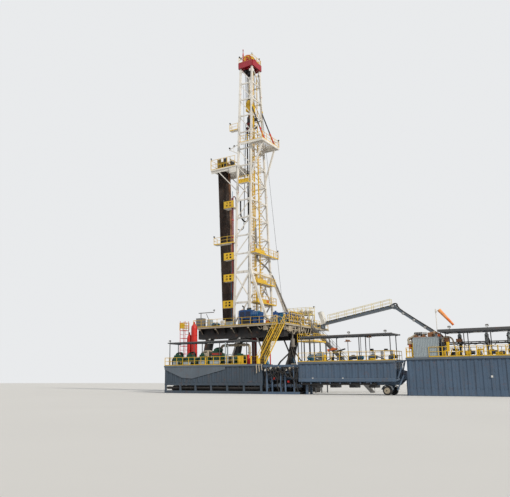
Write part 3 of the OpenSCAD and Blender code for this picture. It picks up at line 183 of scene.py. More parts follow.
def rod(a, b, radius, sides=12, edge=0.0):
    """A round bar from a to b."""
    a, b = Vector(a), Vector(b)
    clear_selection()
    bpy.ops.mesh.primitive_cylinder_add(
        vertices=sides, radius=radius, depth=(b - a).length, location=(a + b) / 2,
        rotation=(b - a).to_track_quat("Z", "Y").to_euler())
    piece = settle()
    if edge:
        bevel_edges(piece, edge)
    return piece


def ring(centre, major, minor, axis="Z", sides=24, minor_sides=8):
    clear_selection()
    turn = {"X": (0, math.pi / 2, 0), "Y": (math.pi / 2, 0, 0), "Z": (0, 0, 0)}[axis]
    bpy.ops.mesh.primitive_torus_add(
        major_radius=major, minor_radius=minor, major_segments=sides,
        minor_segments=minor_sides, location=centre, rotation=turn)
    return settle()


def repeat(piece, count, step):
    """Repeats a piece along a straight row, as one mesh."""
    if count < 2:
        return piece
    row = piece.modifiers.new("row", "ARRAY")
    row.use_relative_offset = False
    row.use_constant_offset = True
    row.constant_offset_displace = step
    row.count = count
    bpy.context.view_layer.objects.active = piece
    bpy.ops.object.modifier_apply(modifier=row.name)
    return piece


def copied(piece, *steps):
    """Copies of a piece, each with its own mesh, moved by each step."""
    made = []
    for step in steps:
        twin = piece.copy()
        twin.data = piece.data.copy()
        bpy.context.collection.objects.link(twin)
        twin.data.transform(Matrix.Translation(Vector(step)))
        made.append(twin)
    return made


def turned(piece, angle, axis, centre):
    """Turns a piece's mesh about a point."""
    centre = Vector(centre)
    piece.data.transform(
        Matrix.Translation(centre) @ Matrix.Rotation(angle, 4, axis) @ Matrix.Translation(-centre))
    return piece


def joined(name, parts, material, body=RIG, smooth=True):
    """Joins parts into one named piece with a finish or its name, riding on a body."""
    clear_selection()
    for part in parts:
        part.select_set(True)
    bpy.context.view_layer.objects.active = parts[0]
    if len(parts) > 1:
        bpy.ops.object.join()
    piece = bpy.context.object
    piece.name = name
    piece.data.name = name
    piece.data.materials.clear()
    piece.data.materials.append(finish(material) if isinstance(material, str) else material)
    if smooth:
        bpy.ops.object.shade_smooth_by_angle(angle=math.radians(SMOOTH_ANGLE))
    if body:
        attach(piece, body)
    return piece


# Finishes


class Nodes:
    """Small helper that adds and links shader nodes in one tree."""

    def __init__(self, tree):
        self.tree = tree

    def add(self, kind, **values):
        node = self.tree.nodes.new(kind)
        for key, value in values.items():
            if hasattr(node, key):
                setattr(node, key, value)
        return node

    def link(self, a, b):
        self.tree.links.new(a, b)

    def math(self, operation, a, b=None, clamp=False):
        node = self.tree.nodes.new("ShaderNodeMath")
        node.operation = operation
        node.use_clamp = clamp
        for socket, value in zip(node.inputs, (a, b)):
            if value is None:
                continue
            if isinstance(value, (int, float)):
                socket.default_value = value
            else:
                self.link(value, socket)
        return node.outputs[0]

    def mix(self, factor, a, b):
        node = self.tree.nodes.new("ShaderNodeMix")
        node.data_type = "RGBA"
        for socket, value in ((node.inputs[0], factor), (node.inputs[6], a), (node.inputs[7], b)):
            if isinstance(value, (int, float)):
                socket.default_value = value
            elif isinstance(value, tuple):
                socket.default_value = value
            else:
                self.link(value, socket)
        return node.outputs[2]

    def noise(self, vector, scale, detail=3.0, roughness=0.55):
        node = self.tree.nodes.new("ShaderNodeTexNoise")
        node.inputs["Detail"].default_value = detail
        node.inputs["Roughness"].default_value = roughness
        if isinstance(scale, (int, float)):
            node.inputs["Scale"].default_value = scale
        else:
            self.link(scale, node.inputs["Scale"])
        self.link(vector, node.inputs["Vector"])
        return node.outputs["Fac"]

    def tone(self, colour, factor):
        """The same colour, lighter or darker."""
        node = self.tree.nodes.new("ShaderNodeVectorMath")
        node.operation = "SCALE"
        node.inputs["Scale"].default_value = factor
        self.link(colour, node.inputs[0])
        return node.outputs[0]

    def window(self, value, low, high):
        node = self.tree.nodes.new("ShaderNodeMapRange")
        node.inputs["From Min"].default_value = low
        node.inputs["From Max"].default_value = high
        self.link(value, node.inputs["Value"])
        return node.outputs[0]

    def stretch(self, vector, scale):
        node = self.tree.nodes.new("ShaderNodeMapping")
        node.inputs["Scale"].default_value = scale
        self.link(vector, node.inputs["Vector"])
        return node.outputs[0]


def weathering_group():
    """Sun-faded paint with run-off streaks, rust freckles and dust on ledges."""
    group = bpy.data.node_groups.get("weathered_paint")
    if group:
        return group
    group = bpy.data.node_groups.new("weathered_paint", "ShaderNodeTree")
    face = group.interface
    for name, kind, value in (
            ("Paint", "NodeSocketColor", (0.5, 0.5, 0.5, 1)),
            ("Dust", "NodeSocketColor", (0.5, 0.41, 0.29, 1)),
            ("Streaks", "NodeSocketFloat", 0.4), ("Rust", "NodeSocketFloat", 0.2),
            ("Ledge Dust", "NodeSocketFloat", 0.5), ("Scale", "NodeSocketFloat", 6.0),
            ("Gloss", "NodeSocketFloat", 0.45)):
        socket = face.new_socket(name=name, in_out="INPUT", socket_type=kind)
        socket.default_value = value
    for name, kind in (("Color", "NodeSocketColor"), ("Roughness", "NodeSocketFloat"),
                       ("Height", "NodeSocketFloat"), ("Bare", "NodeSocketFloat")):
        face.new_socket(name=name, in_out="OUTPUT", socket_type=kind)
    n = Nodes(group)
    source = n.add("NodeGroupInput")
    result = n.add("NodeGroupOutput")
    place = n.add("ShaderNodeTexCoord").outputs["Object"]
    normal = n.add("ShaderNodeNewGeometry").outputs["Normal"]
    split = n.add("ShaderNodeSeparateXYZ")
    n.link(normal, split.inputs[0])
    scale = source.outputs["Scale"]
    # broad fading
    fade = n.noise(place, n.math("MULTIPLY", scale, 0.6), 2.0)
    faded = n.mix(n.window(fade, 0.35, 0.75), source.outputs["Paint"],
                  n.tone(source.outputs["Paint"], 1.22))
    blotch = n.window(n.noise(place, n.math("MULTIPLY", scale, 4.0), 5.0), 0.5, 0.8)
    mottled = n.mix(n.math("MULTIPLY", blotch, 0.3), faded, n.tone(source.outputs["Paint"], 0.6))
    # streaks that run down upright faces
    run = n.noise(n.stretch(place, (1.0, 1.0, 0.06)), n.math("MULTIPLY", scale, 7.0), 4.0)
    upright = n.math("SUBTRACT", 1.0, n.math("ABSOLUTE", split.outputs[2]), clamp=True)
    streak = n.math("MULTIPLY", n.math("MULTIPLY", n.window(run, 0.5, 0.78), upright),
                    source.outputs["Streaks"], clamp=True)
    streaked = n.mix(streak, mottled, n.mix(0.5, n.tone(mottled, 0.45), (0.12, 0.095, 0.07, 1)))
    # rust freckles
    speck = n.noise(place, n.math("MULTIPLY", scale, 22.0), 6.0, 0.7)
    patch = n.noise(place, n.math("MULTIPLY", scale, 2.5), 3.0)
    rust = n.math("MULTIPLY", n.window(n.math("MULTIPLY", speck, patch), 0.30, 0.40),
                  source.outputs["Rust"], clamp=True)
    rusty = n.mix(rust, streaked, (0.17, 0.065, 0.025, 1))
    # dust on ledges
    ledge = n.math("MULTIPLY", n.window(split.outputs[2], 0.35, 1.0), source.outputs["Ledge Dust"])
    dust = n.math("MULTIPLY", ledge, n.window(n.noise(place, n.math("MULTIPLY", scale, 3.0), 4.0), 0.25,
                                              0.7), clamp=True)
    dusty = n.mix(dust, rusty, source.outputs["Dust"])
    n.link(dusty, result.inputs["Color"])
    rough = n.math("ADD", source.outputs["Gloss"],
                   n.math("MULTIPLY", n.math("ADD", streak, dust), 0.35), clamp=True)
    rough = n.math("ADD", rough, n.math("MULTIPLY", n.math("SUBTRACT", fade, 0.5), 0.2), clamp=True)
    n.link(rough, result.inputs["Roughness"])
    n.link(n.math("ADD", n.math("MULTIPLY", speck, 0.4), n.math("MULTIPLY", rust, 0.6)),
           result.inputs["Height"])
    n.link(rust, result.inputs["Bare"])
    return group


def painted(name, paint, gloss=0.45, streaks=0.35, rust=0.2, dust=0.5, scale=6.0, bump=0.0006, metallic=0.0,
            level=None, below=None):
    """A finish of weathered paint or bare steel, with another paint on level faces or below a height."""
    material = bpy.data.materials.get(name)
    if material:
        return material
    material = bpy.data.materials.new(name)
    material.use_nodes = True
    tree = material.node_tree
    shader = tree.nodes["Principled BSDF"]
    n = Nodes(tree)
    group = n.add("ShaderNodeGroup")
    group.node_tree = weathering_group()
    group.inputs["Paint"].default_value = (*paint, 1)
    coat = (*paint, 1)
    if level:
        split = n.add("ShaderNodeSeparateXYZ")
        n.link(n.add("ShaderNodeNewGeometry").outputs["Normal"], split.inputs[0])
        coat = n.mix(n.window(n.math("ABSOLUTE", split.outputs[2]), 0.7, 0.75), coat, (*level, 1))
    if below:
        split = n.add("ShaderNodeSeparateXYZ")
        n.link(n.add("ShaderNodeTexCoord").outputs["Object"], split.inputs[0])
        coat = n.mix(n.window(split.outputs[2], below[0] - 0.001, below[0]), (*below[1], 1), coat)
    if level or below:
        n.link(coat, group.inputs["Paint"])
    group.inputs["Dust"].default_value = (*colours().dust, 1)
    group.inputs["Streaks"].default_value = streaks
    group.inputs["Rust"].default_value = rust
    group.inputs["Ledge Dust"].default_value = dust
    group.inputs["Scale"].default_value = scale
    group.inputs["Gloss"].default_value = gloss
    n.link(group.outputs["Color"], shader.inputs["Base Color"])
    n.link(group.outputs["Roughness"], shader.inputs["Roughness"])
    shader.inputs["Metallic"].default_value = metallic
    shader.inputs["Specular IOR Level"].default_value = 0.3
    bump_node = n.add("ShaderNodeBump")
    bump_node.inputs["Strength"].default_value = 0.35
    bump_node.inputs["Distance"].default_value = bump
    n.link(group.outputs["Height"], bump_node.inputs["Height"])
    n.link(bump_node.outputs["Normal"], shader.inputs["Normal"])
    return material


def finish(name):
    """The rig's finishes by plain name."""
    c = colours()
    table = {
        "cream_paint": dict(paint=c.cream, gloss=0.42, streaks=0.4, rust=0.45, dust=0.3, scale=5.0),
        "yellow_paint": dict(paint=c.yellow, gloss=0.4, streaks=0.3, rust=0.3, dust=0.25, scale=8.0),
        "platform_paint": dict(paint=c.yellow, level=c.cream, gloss=0.45, streaks=0.3, rust=0.4,
                               dust=0.3, scale=7.0),
        "side_platform_paint": dict(paint=c.yellow, level=(0.40, 0.36, 0.26),
                                    below=(0.7445, (0.075, 0.082, 0.09)), gloss=0.45, streaks=0.3,
                                    rust=0.4, dust=0.3, scale=7.0),
        "grey_lagging": dict(paint=(0.19, 0.18, 0.165), gloss=0.5, streaks=0.4, rust=0.3,
                             dust=0.4, scale=9.0),
        "pale_yellow_paint": dict(paint=(0.70, 0.58, 0.22), gloss=0.45, streaks=0.3, rust=0.3,
                                  dust=0.25, scale=9.0),
        "red_paint": dict(paint=c.red, gloss=0.36, streaks=0.3, rust=0.2, dust=0.35, scale=6.0),
        "crown_paint": dict(paint=(0.30, 0.010, 0.022), gloss=0.38, streaks=0.4, rust=0.3,
                            dust=0.3, scale=7.0),
        "dark_red_paint": dict(paint=(0.16, 0.012, 0.012), gloss=0.42, streaks=0.4, rust=0.3,
                               dust=0.4, scale=7.0),
        "blue_paint": dict(paint=c.blue, gloss=0.30, streaks=0.25, rust=0.12, dust=0.3, scale=6.0),
        "teal_paint": dict(paint=(0.012, 0.115, 0.21), gloss=0.35, streaks=0.25, rust=0.1,
                           dust=0.3, scale=8.0),
        "tank_paint": dict(paint=c.slate, gloss=0.48, streaks=0.5, rust=0.35, dust=0.5, scale=4.0),
        "skid_paint": dict(paint=(0.050, 0.070, 0.096), gloss=0.5, streaks=0.5, rust=0.4,
                           dust=0.5, scale=4.0),
        "arm_paint": dict(paint=(0.105, 0.13, 0.16), gloss=0.45, streaks=0.4, rust=0.3,
                          dust=0.4, scale=6.0),
        "charcoal_paint": dict(paint=c.dark, gloss=0.6, streaks=0.3, rust=0.5, dust=0.45, scale=5.0),
        "canopy_paint": dict(paint=(0.075, 0.077, 0.082), gloss=0.55, streaks=0.3, rust=0.4,
                             dust=0.6, scale=5.0),
        "deck_steel": dict(paint=c.deck, gloss=0.5, streaks=0.4, rust=0.5, dust=0.6, scale=7.0),
        "green_paint": dict(paint=c.green, gloss=0.4, streaks=0.3, rust=0.2, dust=0.35, scale=8.0),
        "cabin_paint": dict(paint=c.cabin, gloss=0.42, streaks=0.45, rust=0.3, dust=0.4, scale=6.0),
        "beige_paint": dict(paint=(0.40, 0.35, 0.27), gloss=0.5, streaks=0.45, rust=0.5,
                            dust=0.5, scale=8.0),
        "brown_paint": dict(paint=(0.22, 0.10, 0.045), gloss=0.5, streaks=0.5, rust=0.7,
                            dust=0.5, scale=9.0),
        "orange_paint": dict(paint=(0.62, 0.13, 0.03), gloss=0.45, streaks=0.3, rust=0.2,
                             dust=0.3, scale=9.0),
        # dark brown for the stands' shaded side and light brown for their sunlit side: painted shade and
        # painted sunlight on one pipe
        "pipe_steel": dict(paint=(0.030, 0.019, 0.015), gloss=0.48, streaks=0.5, rust=0.5, dust=0.1,
                           scale=9.0, metallic=0.2),
        "sunlit_pipe_steel": dict(paint=(0.24, 0.12, 0.065), gloss=0.45, streaks=0.5, rust=0.6, dust=0.1,
                               scale=9.0, metallic=0.2),
        "rope_steel": dict(paint=(0.07, 0.068, 0.066), gloss=0.45, streaks=0.1, rust=0.3, dust=0.1,
                           scale=40.0, metallic=0.5),
        "machine_black": dict(paint=(0.022, 0.022, 0.024), gloss=0.4, streaks=0.2, rust=0.15,
                              dust=0.3, scale=9.0),
        "bare_steel": dict(paint=(0.34, 0.34, 0.335), gloss=0.32, streaks=0.2, rust=0.2, dust=0.3,
                           scale=14.0, metallic=0.7),
        "rubber": dict(paint=(0.020, 0.020, 0.021), gloss=0.6, streaks=0.1, rust=0.0, dust=0.3, scale=10.0),
        "white_paint": dict(paint=(0.66, 0.66, 0.64), gloss=0.4, streaks=0.4, rust=0.3,
                            dust=0.3, scale=8.0),
        "stair_paint": dict(paint=c.yellow, level=c.deck, gloss=0.45, streaks=0.3, rust=0.4,
                            dust=0.3, scale=8.0),
        "lamp_lens": dict(paint=(0.70, 0.72, 0.73), gloss=0.12, streaks=0.05, rust=0.0,
                          dust=0.1, scale=20.0),
    }
    return painted(name, **table[name])


def cloth(name, along, start):
    """Orange cloth, faded along its length, with a stitched seam at each panel."""
    material = bpy.data.materials.new(name)
    material.use_nodes = True
    n = Nodes(material.node_tree)
    shader = material.node_tree.nodes["Principled BSDF"]
    place = n.add("ShaderNodeTexCoord").outputs["Object"]
    dot = n.add("ShaderNodeVectorMath")
    dot.operation = "DOT_PRODUCT"
    n.link(place, dot.inputs[0])
    dot.inputs[1].default_value = along
    travelled = n.math("SUBTRACT", dot.outputs["Value"], along.dot(start))
    seam = n.window(n.math("PINGPONG", travelled, 0.024), 0.0232, 0.0237)
    weave = n.noise(place, 900.0, 2.0)
    orange = n.mix(weave, (0.62, 0.13, 0.025, 1), (0.82, 0.21, 0.045, 1))
    faded = n.mix(n.window(n.noise(place, 22.0, 3.0), 0.42, 0.7), orange, (0.80, 0.40, 0.17, 1))
    faded = n.mix(n.window(travelled, 0.16, 0.0), faded, (0.80, 0.36, 0.13, 1))
    n.link(n.mix(seam, faded, (0.42, 0.09, 0.02, 1)), shader.inputs["Base Color"])
    shader.inputs["Roughness"].default_value = 0.85
    return material


NODE_FINISH = {
    "cream_paint": "mast_near_side mast_far_side mast_back back_braces upper_platform platform_struts "
                   "racking_board windsock_pole windsock_hoop",
    "yellow_paint": "crown_rails crown_sheaves racking_board_rails upper_platform_rails mast_ladder "
                    "guide_rails travelling_block floor_rails front_stair_rails tank_rails",
    "platform_paint": "ladder_landings back_platforms",
    "pale_yellow_paint": "cable_arm_rails winch_platform",
    "side_platform_paint": "side_platform",
    "crown_paint": "crown_frame signal_pole",
    "red_paint": "separator",
    "dark_red_paint": "standpipes rotary_table bop_stack",
    "blue_paint": "drawworks power_unit",
    "tank_paint": "middle_tank middle_tank_deck right_tank right_tank_deck manifold_bay",
    "skid_paint": "shaker_tank shaker_tank_deck",
    "arm_paint": "cable_arm cable_arm_stand",
    "charcoal_paint": "base_boxes swing_legs floor_girders",
    "canopy_paint": "canopies",
    "machine_black": "top_drive road_wheels",
    "rope_steel": "fast_line drilling_lines",
    "deck_steel": "drill_floor control_cabinet side_stair",
    "stair_paint": "front_stair",
    "beige_paint": "flow_line",
    "green_paint": "shakers",
    "cabin_paint": "tank_cabin",
    "pipe_steel": "racked_stands",
    "rubber": "rotary_hose service_loop",
    "orange_paint": "windsock",
}


# Pieces


class RIG_OT_paint(bpy.types.Operator):
    """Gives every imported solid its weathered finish"""

    bl_idname = "rig.paint"
    bl_label = "Paint the solids"

    def execute(self, context):
        for name, nodes in NODE_FINISH.items():
            material = finish(name)
            for node in nodes.split():
                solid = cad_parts[node]
                solid.data.materials.clear()
                solid.data.materials.append(material)
        return {"FINISHED"}


HOSE_ROUTE = [
    (-0.196, -0.206, 3.174), (-0.196, -0.206, 3.050), (-0.196, -0.206, 2.900), (-0.196, -0.206, 2.800),
    (-0.196, -0.206, 2.727), (-0.193, -0.201, 2.700), (-0.185, -0.188, 2.676), (-0.172, -0.168, 2.660),
    (-0.157, -0.145, 2.655), (-0.142, -0.122, 2.660), (-0.129, -0.102, 2.676), (-0.121, -0.089, 2.700),
    (-0.118, -0.084, 2.727), (-0.115, -0.080, 2.860), (-0.109, -0.073, 3.160), (-0.103, -0.065, 3.460),
    (-0.096, -0.057, 3.760), (-0.090, -0.049, 4.060), (-0.085, -0.043, 4.280), (-0.080, -0.036, 4.424),
    (-0.080, -0.036, 4.564)]
LOOP_ROUTE = [
    (-0.086, 0.020, 4.510), (-0.086, 0.020, 4.350), (-0.086, 0.020, 4.000), (-0.086, 0.020, 3.600),
    (-0.086, 0.020, 3.200), (-0.086, 0.020, 3.020), (-0.086, 0.020, 2.928), (-0.086, 0.010, 2.879),
    (-0.086, -0.017, 2.837), (-0.086, -0.059, 2.810), (-0.086, -0.107, 2.800), (-0.086, -0.156, 2.810),
    (-0.086, -0.198, 2.837), (-0.086, -0.225, 2.879), (-0.086, -0.235, 2.928), (-0.086, -0.235, 3.020),
    (-0.086, -0.235, 3.142)]


def smooth_route(points, cuts=4):
    """A smooth line through given points."""
    points = [Vector(p) for p in points]
    last = len(points) - 1
    line = []
    for i in range(last):
        a, b, c, d = points[max(i - 1, 0)], points[i], points[i + 1], points[min(i + 2, last)]
        for k in range(cuts):
            t = k / cuts
            line.append(0.5 * (2 * b + (c - a) * t + (2 * a - 5 * b + 4 * c - d) * t * t
                               + (3 * b - a - 3 * c + d) * t ** 3))
    line.append(points[last])
    return line


def tube_along(name, line, radius, sides=12):
    """A closed tube swept along a line, made from a bevelled curve."""
    curve = bpy.data.curves.new(name, "CURVE")
    curve.dimensions = "3D"
    curve.bevel_depth = radius
    curve.bevel_resolution = max(1, sides // 4 - 1)
    curve.use_fill_caps = True
    spline = curve.splines.new("POLY")
    spline.points.add(len(line) - 1)
    for point, place in zip(spline.points, line):
        point.co = (*place, 1)
    holder = bpy.data.objects.new(name, curve)
    bpy.context.collection.objects.link(holder)
    clear_selection()
    holder.select_set(True)
    bpy.context.view_layer.objects.active = holder
    bpy.ops.object.convert(target="MESH")
    return bpy.context.object


class RIG_OT_hose(bpy.types.Operator):
    """Hangs the rotary hose and the bundle of service hoses"""

    bl_idname = "rig.hose"
    bl_label = "Rotary hose and service loop"

    def execute(self, context):
        radius = sizes().hose_radius
        line = smooth_route(HOSE_ROUTE)
        hose = joined("rotary_hose_skin", [tube_along("hose", line, radius, 12)], "rubber",
                      body=None)
        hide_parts("rotary_hose")
        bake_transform(hose)
        # five lines bound side by side, with a strap about every 110 mm
        line = smooth_route(LOOP_ROUTE)
        strands = []
        for i in range(5):
            turn = 2 * math.pi * i / 5
            strand = []
            for k, point in enumerate(line):
                along = (line[min(k + 1, len(line) - 1)] - line[max(k - 1, 0)]).normalized()
                side = Vector((1, 0, 0))
                up = along.cross(side)
                strand.append(point + 0.0078 * (math.cos(turn) * side + math.sin(turn) * up))
            strands.append(tube_along("strand", strand, 0.0052, 8))
        travelled, straps = 0.0, []
        for a, b in zip(line, line[1:]):
            travelled += (b - a).length
            if travelled > 0.11:
                travelled = 0.0
                straps.append(rod(b - (b - a).normalized() * 0.004,
                                  b + (b - a).normalized() * 0.004, 0.0136, 12))
        loop = joined("service_hose_bundle", strands + straps, "rubber", body=None)
        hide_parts("service_loop")
        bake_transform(loop)
        return {"FINISHED"}


class RIG_OT_falls(bpy.types.Operator):
    """Strings the drilling lines between the crown and the block"""

    bl_idname = "rig.falls"
    bl_label = "Drilling lines"

    def execute(self, context):
        low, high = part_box("drilling_lines")
        falls = []
        x = (high[0] - low[0]) / 2 - sizes().rope_radius
        pitch = 0.024
        for side in (-1, 1):
            for i in range(5):
                y = (i - 2) * pitch
                fall = rod((side * x, y, low[2]), (side * x, y + side * pitch / 2, high[2]),
                           sizes().rope_radius, 8)
                falls.append(fall)
        piece = joined("drilling_line_falls", falls, "rope_steel", body=None)
        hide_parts("drilling_lines")
        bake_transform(piece)
        return {"FINISHED"}


class RIG_OT_stands(bpy.types.Operator):
    """Sets back the stands of drill pipe, each with its tool joints"""

    bl_idname = "rig.stands"
    bl_label = "Racked pipe"

    def execute(self, context):
        low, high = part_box("racked_stands")
        r = sizes().pipe_radius
        lean = math.radians(1.8)
        height = high[2] - low[2]
        foot_x = low[0] + (high[0] - low[0]) - 0.075
        pipe = rod((foot_x, 0, low[2]), (foot_x, 0, high[2]), r, 10)
        joints = []
        for i in range(4):
            z = low[2] + 0.02 + i * (height - 0.07) / 3
            joints.append(rod((foot_x, 0, z), (foot_x, 0, z + 0.045), r * 1.28, 10, 0.002))
        stand = joined("one_stand", [pipe] + joints, "pipe_steel", body=None)
        columns, rows = 8, 10
        pitch_x, pitch_y = (0.150 - 2.6 * r) / (columns - 1), (0.190 - 2.6 * r) / (rows - 1)
        stand.data.transform(Matrix.Translation((-(columns - 1) / 2 * pitch_x,
                                                 -(rows - 1) / 2 * pitch_y, 0)))
        # the far rows of the two columns on the sun's side take the light brown, painted sunlight; the
        # other stands keep the dark brown, painted shade
        sunlit_lot, outer = copied(stand, (6 * pitch_x, 6 * pitch_y, 0), (6 * pitch_x, 0, 0))
        for lot, across, along in ((stand, 6, rows), (sunlit_lot, 2, rows - 6), (outer, 2, 6)):
            repeat(lot, across, (pitch_x, 0, 0))
            repeat(lot, along, (0, pitch_y, 0))
            turned(lot, -lean, "Y", (foot_x, 0, low[2]))
        joined("sunlit_pipe_stands", [sunlit_lot], "sunlit_pipe_steel")
        piece = joined("drill_pipe_stands", [stand, outer], "pipe_steel")
        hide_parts("racked_stands")
        return {"FINISHED"}


# Shared small parts

FLOOR = 1.02
CROWN = 5.59
BAYS = [1.90 + 0.3075 * i for i in range(12)]
BRACE_TOP = Vector((0.140, 0.341, 1.950))
# Half spacing of the mast's legs at the floor, and how far they draw in up to the crown
LEGS_AT_FLOOR = (0.142, 0.390)
LEGS_DRAW_IN = (0.027, 0.260)
# Ends and wall top of each tank
TANKS = ((-0.66, 0.97, 0.385), (1.51, 2.76, 0.40), (2.90, 4.10, 0.425))
# Walking levels of the three tank decks, and the near face of the tanks' ribs
SHAKER_DECK = 0.391
MIDDLE_DECK = 0.406
RIGHT_DECK = 0.431
TANK_FACE = -1.506


def mast_leg(sx, sy, z):
    """Centre of a mast leg at a level."""
    t = (z - FLOOR) / (CROWN - FLOOR)
    half_x, half_y = LEGS_AT_FLOOR
    return Vector((sx * (half_x - LEGS_DRAW_IN[0] * t), sy * (half_y - LEGS_DRAW_IN[1] * t), z))


def plate(x0, x1, y0, y1, z0, z1, edge=0.0):
    """A box whose corners may be given in any order."""
    return box((min(x0, x1), min(y0, y1), min(z0, z1)), (max(x0, x1), max(y0, y1), max(z0, z1)), edge)


def pipe_run(points, radius, sides=8, cuts=3):
    """A pipe or hose through points, with smooth bends."""
    return tube_along("run", smooth_route([tuple(p) for p in points], cuts), radius, sides)


def hanging(a, b, sag, radius, sides=6, steps=6):
    """A hose or cable slung between two points."""
    a, b = Vector(a), Vector(b)
    points = []
    for i in range(steps + 1):
        t = i / steps
        point = a.lerp(b, t)
        point.z -= sag * 4 * t * (1 - t)
        points.append(point)
    return tube_along("slung", points, radius, sides)


def placed(parts, at, yaw=0.0, pitch=0.0):
    """Turns parts modelled at the origin and puts them at a place."""
    turn = Matrix.Rotation(yaw, 4, "Z") @ Matrix.Rotation(pitch, 4, "Y")
    for part in parts:
        part.data.transform(Matrix.Translation(Vector(at)) @ turn)
    return parts


def handwheel(at, axis="Y", radius=0.014):
    """A valve's handwheel with two spokes."""
    at = Vector(at)
    across = {"X": ((0, 1, 0), (0, 0, 1)), "Y": ((1, 0, 0), (0, 0, 1)), "Z": ((1, 0, 0), (0, 1, 0))}[axis]
    spokes = [rod(at - Vector(d) * radius, at + Vector(d) * radius, 0.0016, 5) for d in across]
    return [ring(at, radius, 0.0022, axis, 14, 5)] + spokes


def flange(at, axis, radius, width=0.006):
    """A pair of pipe flanges."""
    half = {"X": (width, 0, 0), "Y": (0, width, 0), "Z": (0, 0, width)}[axis]
    at, half = Vector(at), Vector(half)
    return rod(at - half, at + half, radius, 14, 0.001)


def cut_plate(outline, y0, y1):
    """A flat plate cut to an outline in X and Z, between two levels of Y."""
    curve = bpy.data.curves.new("outline", "CURVE")
    curve.dimensions = "2D"
    curve.fill_mode = "BOTH"
    curve.extrude = abs(y1 - y0) / 2
    spline = curve.splines.new("POLY")
    spline.points.add(len(outline) - 1)
    for point, (x, z) in zip(spline.points, outline):
        point.co = (x, z, 0, 1)
    spline.use_cyclic_u = True
    holder = bpy.data.objects.new("outline", curve)
    bpy.context.collection.objects.link(holder)
    clear_selection()
    holder.select_set(True)
    bpy.context.view_layer.objects.active = holder
    bpy.ops.object.convert(target="MESH")
    piece = bpy.context.object
    bpy.ops.object.mode_set(mode="EDIT")
    bpy.ops.mesh.select_all(action="SELECT")
    bpy.ops.mesh.remove_doubles(threshold=0.00001)
    bpy.ops.mesh.normals_make_consistent(inside=False)
    bpy.ops.object.mode_set(mode="OBJECT")
    piece.data.transform(Matrix.Translation((0, (y0 + y1) / 2, 0)) @ Matrix.Rotation(math.pi / 2, 4, "X"))
    return piece


def motor(at, length, radius, axis="X"):
    """A finned electric motor lying on its feet, with its fan cowl and terminal box."""
    at = Vector(at)
    run = {"X": Vector((1, 0, 0)), "Y": Vector((0, 1, 0))}[axis]
    side = Vector((run.y, run.x, 0))
    a, b = at - run * length / 2, at + run * length / 2
    parts = [rod(a, b, radius * 0.86, 16, 0.001),
             rod(b - run * length * 0.2, b + run * 0.002, radius, 16, 0.002),
             rod(a - run * length * 0.22, a, radius * 0.28, 10)]
    for k in range(5):
        c = a + run * length * (0.10 + 0.15 * k)
        parts.append(rod(c - run * 0.0012, c + run * 0.0012, radius, 16))
    foot = run * length * 0.35 + side * radius * 0.8
    parts.append(box(at - foot - Vector((0, 0, radius + 0.004)),
                     at + foot - Vector((0, 0, radius - 0.004)), 0.001))
    lid = run * length * 0.16 + side * radius * 0.4
    parts.append(box(at - lid + Vector((0, 0, radius * 0.6)),
                     at + lid + Vector((0, 0, radius * 1.35)), 0.001))
    return parts


